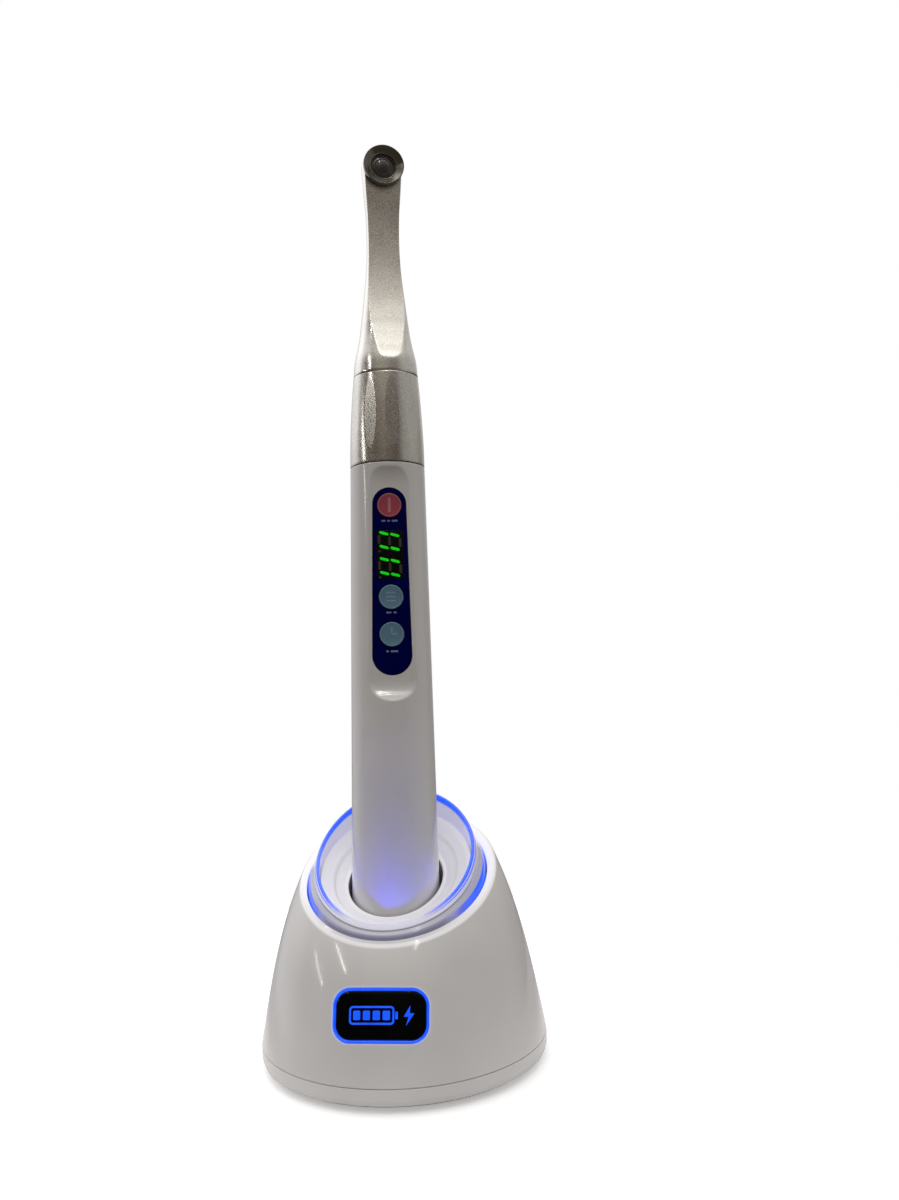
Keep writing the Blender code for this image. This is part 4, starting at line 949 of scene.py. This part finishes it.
def build_jack():
    profile = [(0.0029, 0.0310), (0.0029, 0.0408), (0.0040, 0.0408), (0.0040, 0.0355), (0.0046, 0.0355),
               (0.0046, 0.0285), (0.0010, 0.0285), (0.0010, 0.0310)]
    item = turned("dc_inlet_socket", fillet(profile, 0.0, 5, True, {1: 0.0002, 2: 0.0002}), INLET, 96,
                  closed=True)
    piece(item, "root", "black_plastic", "black_plastic", "dc_jack_body")


# ---- handpiece ----

def body_radius(position):
    run = max(0.0, position - TAPER_START) / (BODY_TOP - TAPER_START)
    return TAIL_RADIUS + (BODY_TOP_RADIUS - TAIL_RADIUS) * run


def body_surface(angle, position):
    """Distance of the body's face from its axis; angle is measured from the front."""
    radius = body_radius(position)
    if position < RECESS_LOW - 0.001 or cos(angle) < 0.5:
        return radius
    rise = radius - RECESS_FRONT + 0.0003
    low_end = min(1.0, max(0.0, (RECESS_LOW + 0.0072 - position) / 0.0072))
    high_end = min(1.0, max(0.0, (position - RECESS_HIGH + 0.0046) / 0.0052))
    climb = rise * low_end ** 2.4 + rise * (1 - sqrt(1 - high_end ** 2))
    return soft_min(radius, (RECESS_FRONT + climb) / cos(angle), 0.00020)


def polar_ring(surface, position, count):
    ring = []
    for k in range(count):
        angle = TURN * k / count
        radius = surface(angle, position)
        ring.append(Vector((radius * sin(angle), -radius * cos(angle), position)))
    return ring


def plain_ring(radius, position, count):
    return [Vector((radius * sin(TURN * k / count), -radius * cos(TURN * k / count), position))
            for k in range(count)]


def plain_rings(profile, count):
    return [plain_ring(radius, position, count) for radius, position in profile]


def build_body():
    count = 300
    recess_near = 0.1035  # from here up the rings are close together
    low = TAIL_SEAM + GAP
    rings = plain_rings([(TAIL_RADIUS - 0.00022, low), (TAIL_RADIUS - 0.00006, low + 0.00008),
                         (TAIL_RADIUS, low + 0.00024)], count)
    stations = [low + 0.001 + (recess_near - low - 0.001) * k / 34 for k in range(35)]
    stations += [recess_near + (BODY_TOP - 0.0004 - recess_near) * k / 250 for k in range(1, 251)]
    rings += [polar_ring(body_surface, position, count) for position in stations]
    rings += plain_rings([(BODY_TOP_RADIUS - 0.00001, BODY_TOP - 0.00022),
                          (BODY_TOP_RADIUS - 0.00006, BODY_TOP - 0.00008),
                          (BODY_TOP_RADIUS - 0.00020, BODY_TOP), (UPPER_BORE, BODY_TOP),
                          (UPPER_BORE, UPPER_BORE_START), (body_radius(0.0945) - BODY_WALL, 0.0945),
                          (TAIL_RADIUS - BODY_WALL, low)], count)
    shell = skin("body_moulding", rings, closed=True, matrix=PEN)
    outline = stadium(PANEL_LOW - 0.00015, PANEL_HIGH + 0.00015, PANEL_HALF_WIDTH_LOW + 0.00015,
                      PANEL_HALF_WIDTH_HIGH + 0.00015)
    depth = RECESS_FRONT - PANEL_SINK - PANEL_THICKNESS - GAP
    cut(shell, prism("panel_pocket", outline, 0.0, 0.006, PEN @ facing_front(depth, 0.0)))
    piece(shell, "handpiece", "pen_white", "white_gloss", "body_shell")

    inner = TAIL_RADIUS - BODY_WALL - GAP
    profile = [(TAIL_RADIUS - 0.0022, TAIL_END), (TAIL_RADIUS - 0.0008, TAIL_END + 0.0007),
               (TAIL_RADIUS, TAIL_END + 0.0024), (TAIL_RADIUS, TAIL_SEAM), (inner, TAIL_SEAM),
               (inner, TAIL_SEAM + 0.0020)]
    cap = turned("tail_moulding", fillet(profile, 0.0, 6, False, {1: 0.0008, 2: 0.0012, 3: 0.0002}), PEN, 200)
    pin_holes(cap, PEN, 0.0021, 0.015, TAIL_END + 0.0022, 40)
    piece(cap, "handpiece", "pen_white", "white_gloss", "tail_cap")


def build_panel():
    low = RECESS_FRONT - PANEL_SINK - PANEL_THICKNESS
    place = PEN @ facing_front(low, 0.0)
    panel = prism("control_foil", stadium(PANEL_LOW, PANEL_HIGH, PANEL_HALF_WIDTH_LOW, PANEL_HALF_WIDTH_HIGH,
                                          48), 0.0, PANEL_THICKNESS, place, bevel=PLAY)
    middle = (DISPLAY_LOW + DISPLAY_HIGH) / 2
    length = DISPLAY_HIGH - DISPLAY_LOW
    cut(panel, prism("display_opening", rounded_rectangle(DISPLAY_WIDTH + PLAY, length + PLAY, 0.0006, 6,
                                                          (0.0, middle)), -0.002, 0.003, place))
    for height in BUTTON_POSITIONS.values():
        cut(panel, prism("key_opening", circle_outline(BUTTON_RADIUS + PLAY, 96, (0.0, height)),
                         -0.002, 0.003, place))
    piece(panel, "handpiece", "navy_panel", "navy_panel", "control_panel")
    window = prism("display_glass", rounded_rectangle(DISPLAY_WIDTH, length, 0.0005, 8, (0.0, middle)),
                   0.0, PANEL_THICKNESS, place, bevel=0.00008)
    piece(window, "handpiece", "smoked_window", "smoked_window", "display_window")
    face = PEN @ facing_front(RECESS_FRONT - PANEL_SINK, 0.0)
    build_digits(face)
    build_legends(face)


def bar_outline(centre_x, centre_y, length, upright, slant=0.0):
    """One bar of a digit, with pointed ends."""
    half, tip = length / 2, BAR_WIDTH / 2
    outline = [(-half, 0.0), (-half + tip, -tip), (half - tip, -tip), (half, 0.0), (half - tip, tip),
               (-half + tip, tip)]
    points = []
    for x, y in outline:
        if upright:
            x, y = -y, x
        points.append(Vector((centre_x + x, centre_y + y - slant * x)))
    return points


def build_digits(place):
    def digit_mark(name, outline, look):
        decal(name, outline, 0.0002, 0.00004, place, "handpiece", look, "smoked_window")

    for digit, middle in enumerate((0.15245, 0.1447)):
        for row, offset_y in enumerate((0.00205, -0.00205)):
            for column, x in enumerate((-0.00175, 0.00145)):
                outline = bar_outline(x, middle + offset_y - 0.17 * x, 0.00285, False, 0.25)
                digit_mark(f"lit_bar_{digit + 1}{row + 1}{column + 1}", outline, "lit_bar")
        for column, x in enumerate((-0.0032, -0.00012, 0.0030)):
            outline = bar_outline(x, middle - 0.17 * x, 0.0029, True)
            digit_mark(f"unlit_bar_{digit + 1}{column + 1}", outline, "unlit_bar")
        dot = circle_outline(0.00036, 24, (-0.0031, middle - 0.0030))
        digit_mark(f"unlit_dot_{digit + 1}", dot, "unlit_bar")


def build_legends(place):
    """Short dashes where the photograph has words under the keys."""
    for row, (height, widths) in enumerate(((0.1585, (0.0012, 0.0008, 0.0018)), (0.1313, (0.0016, 0.0010)),
                                            (0.1199, (0.0008, 0.0022)))):
        total = sum(widths) + 0.0005 * (len(widths) - 1)
        start = -total / 2
        for k, width in enumerate(widths):
            outline = rounded_rectangle(width, 0.00055, 0.00024, 5, (start + width / 2, height))
            start += width + 0.0005
            name = f"legend_dash_{row + 1}{k + 1}"
            decal(name, outline, 0.0001, 0.00003, place, "handpiece", "print", "navy_panel")


def build_keys():
    top = RECESS_FRONT + BUTTON_PROUD
    for label, height in BUTTON_POSITIONS.items():
        colour = "red" if label == "power" else "blue"
        place = PEN @ facing_front(top - BUTTON_LENGTH, height)
        profile = [(BUTTON_RADIUS, 0.0), (BUTTON_RADIUS, BUTTON_LENGTH - 0.0001)]
        for k in range(6):
            turn = radians(15 + 75 * k / 5)
            profile.append((BUTTON_RADIUS - 0.00022 + 0.00022 * cos(turn),
                            BUTTON_LENGTH - 0.00022 + 0.00022 * sin(turn)))
        profile += [(BUTTON_RADIUS - 0.00045, BUTTON_LENGTH - 0.00002),
                    (BUTTON_RADIUS - 0.0009, BUTTON_LENGTH - 0.00006),
                    (0.0016, BUTTON_LENGTH - 0.00004), (0.0003, BUTTON_LENGTH - 0.00003)]
        body = f"{label}_button"
        piece(turned(f"{label}_key", profile, place, 96), body, f"{colour}_key", f"{colour}_key", body)
        profile = [(BUTTON_RADIUS - inset, BUTTON_LENGTH + lift) for inset, lift in (
            (0.00036, -0.0002), (0.00012, -0.0002), (0.00014, -0.00001), (0.00024, 0.00003),
            (0.00036, 0.00001))]
        rim = turned(f"{label}_key_rim", profile, place, 96, closed=True)
        piece(rim, body, f"{colour}_rim", f"{colour}_key")
        face = PEN @ facing_front(top, height)
        for k, outline in enumerate(key_icon(label)):
            decal(f"{label}_mark_{k + 1}", outline, 0.0003, 0.00001, face, body, f"{colour}_rim",
                  f"{colour}_key")


def key_icon(label):
    """Power stroke, list of modes, and clock hands, as outlines on the key's face."""
    if label == "power":
        return [rounded_rectangle(0.00085, 0.0044, 0.0003, 4)]
    if label == "mode":
        return [rounded_rectangle(width, 0.00042, 0.0002, 4, (0.0, y))
                for y, width in ((0.0012, 0.0030), (0.0, 0.0030), (-0.0012, 0.0030))]
    return [rounded_rectangle(0.00050, 0.0024, 0.00020, 4, (0.0, 0.0009)),
            rounded_rectangle(0.0018, 0.00050, 0.00020, 4, (0.00065, 0.0))]


def sleeve_radius(position):
    run = max(0.0, (position - SLEEVE_BOTTOM) / (SLEEVE_TOP - SLEEVE_BOTTOM))
    return BODY_TOP_RADIUS + (SLEEVE_TOP_RADIUS - BODY_TOP_RADIUS) * run ** 1.9


FACET_MIDDLE = 0.1911
FACET_DEPTH = 0.00019
FACETS = 10


def sleeve_surface(angle, position):
    """The sleeve's face, with its ring of shallow lens-shaped flats."""
    step = 0.0005
    slope = (sleeve_radius(FACET_MIDDLE + step) - sleeve_radius(FACET_MIDDLE - step)) / (2 * step)
    distance = sleeve_radius(FACET_MIDDLE) - FACET_DEPTH + slope * (position - FACET_MIDDLE)
    spacing = TURN / FACETS
    first = radians(7.0)
    off = (angle - first + spacing / 2) % spacing - spacing / 2
    return soft_min(sleeve_radius(position), distance / cos(off), 0.000025)


def build_sleeve():
    count = 480
    rings = plain_rings([(BODY_TOP_RADIUS - 0.00018, SLEEVE_BOTTOM),
                         (BODY_TOP_RADIUS - 0.00005, SLEEVE_BOTTOM + 0.00006),
                         (BODY_TOP_RADIUS, SLEEVE_BOTTOM + 0.00018)], count)
    start, stop = SLEEVE_BOTTOM + 0.0005, SLEEVE_TOP - 0.0003
    rings += [polar_ring(sleeve_surface, start + (stop - start) * k / 120, count) for k in range(121)]
    bore = 0.0080
    rings += plain_rings([(SLEEVE_TOP_RADIUS - 0.00001, SLEEVE_TOP - 0.00008),
                          (SLEEVE_TOP_RADIUS - 0.00006, SLEEVE_TOP), (bore, SLEEVE_TOP),
                          (bore, SLEEVE_TOP - 0.0015)], count)
    rings += plain_rings([(sleeve_radius(height) - SLEEVE_WALL, height)
                          for height in (0.1995, 0.1900, SLEEVE_BOTTOM)], count)
    item = skin("grip_sleeve_turned", rings, closed=True, matrix=PEN, sharp=40.0)
    piece(item, "handpiece", "satin_silver", "satin_silver", "grip_sleeve")


# ---- head ----

def head_station(position):
    line = HEAD_LINE
    index = max(i for i in range(len(line) - 1) if line[i][0] <= position or i == 0)
    start, end = line[index], line[index + 1]
    before = line[max(index - 1, 0)]
    after = line[min(index + 2, len(line) - 1)]
    span = end[0] - start[0]
    t = min(max((position - start[0]) / span, 0.0), 1.0)
    values = []
    for k in (1, 2, 3):
        slope_start = (end[k] - before[k]) / (end[0] - before[0]) * span
        slope_end = (after[k] - start[k]) / (after[0] - start[0]) * span
        values.append(start[k] * (2 * t ** 3 - 3 * t ** 2 + 1) + slope_start * (t ** 3 - 2 * t ** 2 + t)
                      + end[k] * (3 * t ** 2 - 2 * t ** 3) + slope_end * (t ** 3 - t ** 2))
    return values


def head_ring(position, count, shrink=0.0):
    power = 2.2
    width, back, flat = head_station(position)
    if position > LENS_CENTRE:
        climb = (position - LENS_CENTRE) / HEAD_RADIUS
        width = HEAD_RADIUS * sqrt(max(1.0 - climb ** 2, 0.0004))
        back = back * (1.0 - 0.75 * climb ** 3)
    width, back = width - shrink, back - shrink
    depth = max(width, back * 0.9)
    points = []
    for k in range(count):
        angle = TURN * k / count
        cosine, sine = sin(angle), cos(angle)
        side = width * copysign(abs(cosine) ** (2 / power), cosine)
        reach = depth if sine > 0 else back
        front = reach * copysign(abs(sine) ** (2 / power), sine)
        if sine > 0:
            front = soft_min(front, flat, 0.00016)
        points.append(Vector((side, -front, position)))
    return points


def build_head():
    count = 400
    low = HEAD_BOTTOM - 0.00021
    rings = [head_ring(low, count, 0.00007), head_ring(low + 0.00003, count, 0.00002),
             head_ring(low + 0.00009, count)]
    rings += [head_ring(HEAD_BOTTOM + 0.0006 + (LENS_CENTRE - HEAD_BOTTOM - 0.0006) * k / 150, count)
              for k in range(151)]
    rings += [head_ring(LENS_CENTRE + HEAD_RADIUS * sin(radians(90 * k / 26)), count)
              for k in range(1, 26)]
    item = skin("head_casting", rings, matrix=HEAD, sharp=50.0)
    cut(item, turned("lens_pocket", [(POCKET_RADIUS, 0.0), (POCKET_RADIUS, 0.010)],
                     HEAD @ facing_front(POCKET_FLOOR, LENS_CENTRE), 96), sharp=50.0)
    cut(item, turned("spindle_bore", [(SPINDLE_RADIUS, 0.198), (SPINDLE_RADIUS, 0.2156)], HEAD, 64),
        sharp=50.0)
    cut(item, turned("rod_channel", [(ROD_RADIUS, 0.205), (ROD_RADIUS, 0.2695)],
                     HEAD @ Matrix.Translation((0.0, ROD_OFFSET, 0.0)), 32), sharp=50.0)
    flats = [smooth((0.00012 - vertex.co.y - head_station(vertex.co.z)[2]) / 0.00010)
             for vertex in item.data.vertices]
    mark_points(item, "flat", flats)
    piece(item, "head", "head_silver", "satin_silver", "head_housing")

    place = HEAD @ facing_front(0.0, LENS_CENTRE)
    seat = HEAD_FACE + GAP
    profile = [(LENS_RADIUS + 0.00006, 0.0), (POCKET_RADIUS - GAP, 0.0), (POCKET_RADIUS - GAP, seat),
               (BEZEL_RADIUS, seat), (BEZEL_RADIUS, BEZEL_FRONT), (BEZEL_RADIUS - 0.0003, BEZEL_FRONT),
               (LENS_RADIUS + 0.0004, HEAD_FACE + 0.0004), (LENS_RADIUS + 0.0003, HEAD_FACE + 0.00055),
               (LENS_RADIUS + 0.00006, HEAD_FACE + 0.0004)]
    profile = fillet(profile, 0.0, 5, True, {3: 0.0001, 4: 0.0002, 5: 0.00012, 6: 0.0002, 7: 0.00008,
                                             8: 0.00006})
    bezel = turned("bezel_turned", profile, place, 160, closed=True)
    piece(bezel, "head", "dark_steel", "dark_steel", "lens_bezel")

    dome = [(LENS_RADIUS, 0.0), (LENS_RADIUS, 0.0027), (LENS_RADIUS * 0.98, 0.00282),
            (LENS_RADIUS * 0.92, 0.00282), (LENS_RADIUS * 0.90, 0.0027)]
    for k in range(28):
        share = 0.88 * (1 - k / 27.5)
        step = -0.00010 * exp(-((share - 0.62) / 0.035) ** 2)
        dome.append((LENS_RADIUS * share, 0.0026 + 0.0008 * (1 - (share / 0.88) ** 2) + step))
    lens = turned("lens_glass", dome, place, 128)
    piece(lens, "head", lens_look(), "clear_lens", "head_lens")


def lens_look():
    look = Look("lens_glass", IOR=1.50)
    smear = look.noise(500.0, 3.0)
    look.set(Base_Color=look.blend(look.mottle(smear), (0.040, 0.037, 0.032),
                                   (0.085, 0.08, 0.07)),
             Roughness=look.ramp(smear, 0.35, 0.75, 0.03, 0.10), Transmission_Weight=0.2, Coat_Weight=1.0)
    return look.material


# ---- CAD nodes that stay ----

def dress_frame():
    """Every CAD node that is still shown gets the material of its slot."""
    slots = {part["node"]: part["material_slot"] for part in frame["record"]["subparts"]}
    for name, item in frame["nodes"].items():
        if item.hide_render:
            continue
        paint(item, LOOKS.get(slots[name], LOOKS["black_plastic"]))


# ---- floor and light ----

def build_floor():
    """A pale floor for the camera; the object is lit by a dimmer one, brighter close to the base."""
    steps = 64
    radii = (0.03, 0.05, 0.08, 0.12, 0.17)
    vertices = [Vector((0.0, 0.0, 0.0))]
    for radius in radii:
        vertices += [Vector((*p, 0.0)) for p in circle_outline(radius, steps)]
    faces = [(0, 1 + k, 1 + (k + 1) % steps) for k in range(steps)]
    for row in range(len(radii) - 1):
        for k in range(steps):
            a, b = 1 + row * steps + k, 1 + row * steps + (k + 1) % steps
            faces.append((a, a + steps, b + steps, b))
    floor = new_object("studio_floor", vertices, faces)
    look = Look("pale_floor", Roughness=0.6)
    grain = look.noise(60.0, 4.0)
    look.set(Base_Color=look.blend(look.mottle(grain), (0.86, 0.86, 0.87),
                                   (0.90, 0.90, 0.90)),
             Emission_Color=(1.0, 1.0, 1.0), Emission_Strength=0.35)
    away = look.vector("LENGTH", look.place, output=1)
    close = look.ramp(away, 0.050, 0.100, 1.0, 0.0)
    dim = look.blend(close, (0.38, 0.375, 0.38), (0.88, 0.87, 0.88))
    dim = look.blend(look.mottle(grain, 0.0, 0.1), dim, (0.5, 0.5, 0.5))
    dim = look.add("BsdfDiffuse", inputs={"Color": dim})
    seen = look.add("LightPath")
    both = look.add("MixShader", inputs={0: seen, 1: dim, 2: look.shader.outputs[0]})
    look.put(look.tree.nodes["Material Output"].inputs["Surface"], both)
    floor.data.materials.append(look.material)


def build_world():
    """The camera sees plain white; the object is lit by a dim room, brighter overhead, left and behind."""
    world = bpy.data.worlds.new("studio")
    bpy.context.scene.world = world
    world.use_nodes = True
    world.node_tree.nodes.clear()
    room = Nodes(world.node_tree)
    direction = room.add("TexCoord")

    def lobe(azimuth, elevation, inner, outer, colour):
        """Light from round one direction, fading out between two angles."""
        facing = room.vector("DOT_PRODUCT", direction, tuple(heading(azimuth, elevation)), output=1)
        share = room.ramp(facing, cos(radians(outer)), cos(radians(inner)), 0.0, 1.0)
        return room.add("VectorMath", inputs={0: colour, "Scale": share}, operation="SCALE")

    total = room.add("CombineXYZ", inputs={0: 0.108, 1: 0.094, 2: 0.083})
    lobes = (
        (0, 90, 5, 40, (0.78, 0.78, 0.79)),
        (0, 90, 12, 66, (0.66, 0.655, 0.64)),
        (0, 40, 6, 30, (0.08, 0.065, 0.045)),
        (-120, 45, 12, 45, (0.70, 0.71, 0.72)),
        (-114, 5, 12, 34, (0.24, 0.24, 0.25)),
        (-125, 8, 12, 42, (0.34, 0.35, 0.37)),
        (95, 15, 22, 48, (0.21, 0.22, 0.215)),
        (110, 40, 12, 45, (0.10, 0.10, 0.105)),
        (180, 40, 20, 60, (0.55, 0.55, 0.56)),
    )
    for values in lobes:
        total = room.vector("ADD", total, lobe(*values))
    dim = room.add("Background", inputs={"Color": total, "Strength": 1.0})
    white = room.add("Background", inputs={"Color": (1.0, 1.0, 1.0), "Strength": 1.0})
    shader = room.add("MixShader", inputs={0: room.add("LightPath"), 1: dim, 2: white})
    out = room.tree.nodes.new("ShaderNodeOutputWorld")
    room.put(out.inputs["Surface"], shader)


def heading(azimuth, elevation):
    a, e = radians(azimuth), radians(elevation)
    return Vector((sin(a) * cos(e), -cos(a) * cos(e), sin(e)))


def light(name, kind, power, colour, place):
    data = bpy.data.lights.new(name, kind)
    data.energy = power
    data.color = colour
    item = link(name, data)
    item.matrix_world = place
    item.visible_camera = False
    return item


def strip_light(name, start, end, width, power):
    """A tube light between two points, facing the object."""
    middle = (start + end) / 2
    along = (end - start).normalized()
    back = (middle - Vector((0.0, 0.0, 0.1))).normalized()
    back = (back - along * back.dot(along)).normalized()
    turn = Matrix((along, back.cross(along), back)).transposed().to_4x4()
    item = light(name, "AREA", power, (1.0, 0.99, 0.95), Matrix.Translation(middle) @ turn)
    item.data.shape = "RECTANGLE"
    item.data.size = (end - start).length
    item.data.size_y = width


def toward(azimuth, elevation, distance, origin=(-0.015, -0.025, 0.035)):
    return Vector(origin) + distance * heading(azimuth, elevation)


def build_lights():
    strip_light("tube_left", toward(-80, 25, 2.0), toward(-65, 19, 2.0), 0.04, 0.8)
    strip_light("tube_right", toward(-62, 42, 2.0), toward(-46, 34, 2.0), 0.04, 1.1)
    scoop = (0.0, -0.008, 0.107)
    strip_light("tube_front", toward(16.3, 53, 2.0, scoop), toward(21.9, 70.5, 2.0, scoop), 0.025, 1.3)
    for name, place, aim, power, spread, blend in (
            ("ring_glow_front", (0.0015, -0.0360, 0.0440), (0.0015, -0.0165, 0.0590), 0.0160, 52, 0.14),
            ("ring_glow_left", (-0.0215, -0.0075, 0.0560), (-0.006, -0.0120, 0.0580), 0.0022, 80, 1.0),
            ("ring_glow_right", (0.0215, -0.0075, 0.0560), (0.006, -0.0120, 0.0580), 0.0016, 80, 1.0)):
        turn = (Vector(aim) - Vector(place)).to_track_quat("-Z", "Y").to_matrix().to_4x4()
        item = light(name, "SPOT", power, (0.02, 0.05, 1.0), Matrix.Translation(place) @ turn)
        item.data.shadow_soft_size = 0.0006
        item.data.spot_size = radians(spread)
        item.data.spot_blend = blend
        item.visible_glossy = False


bpy.context.scene.view_settings.view_transform = "Standard"
for build in (add_camera, build_base, build_socket, build_ring, build_window, build_jack, build_body,
              build_panel, build_keys, build_sleeve, build_head, dress_frame, build_floor, build_world,
              build_lights):
    build()
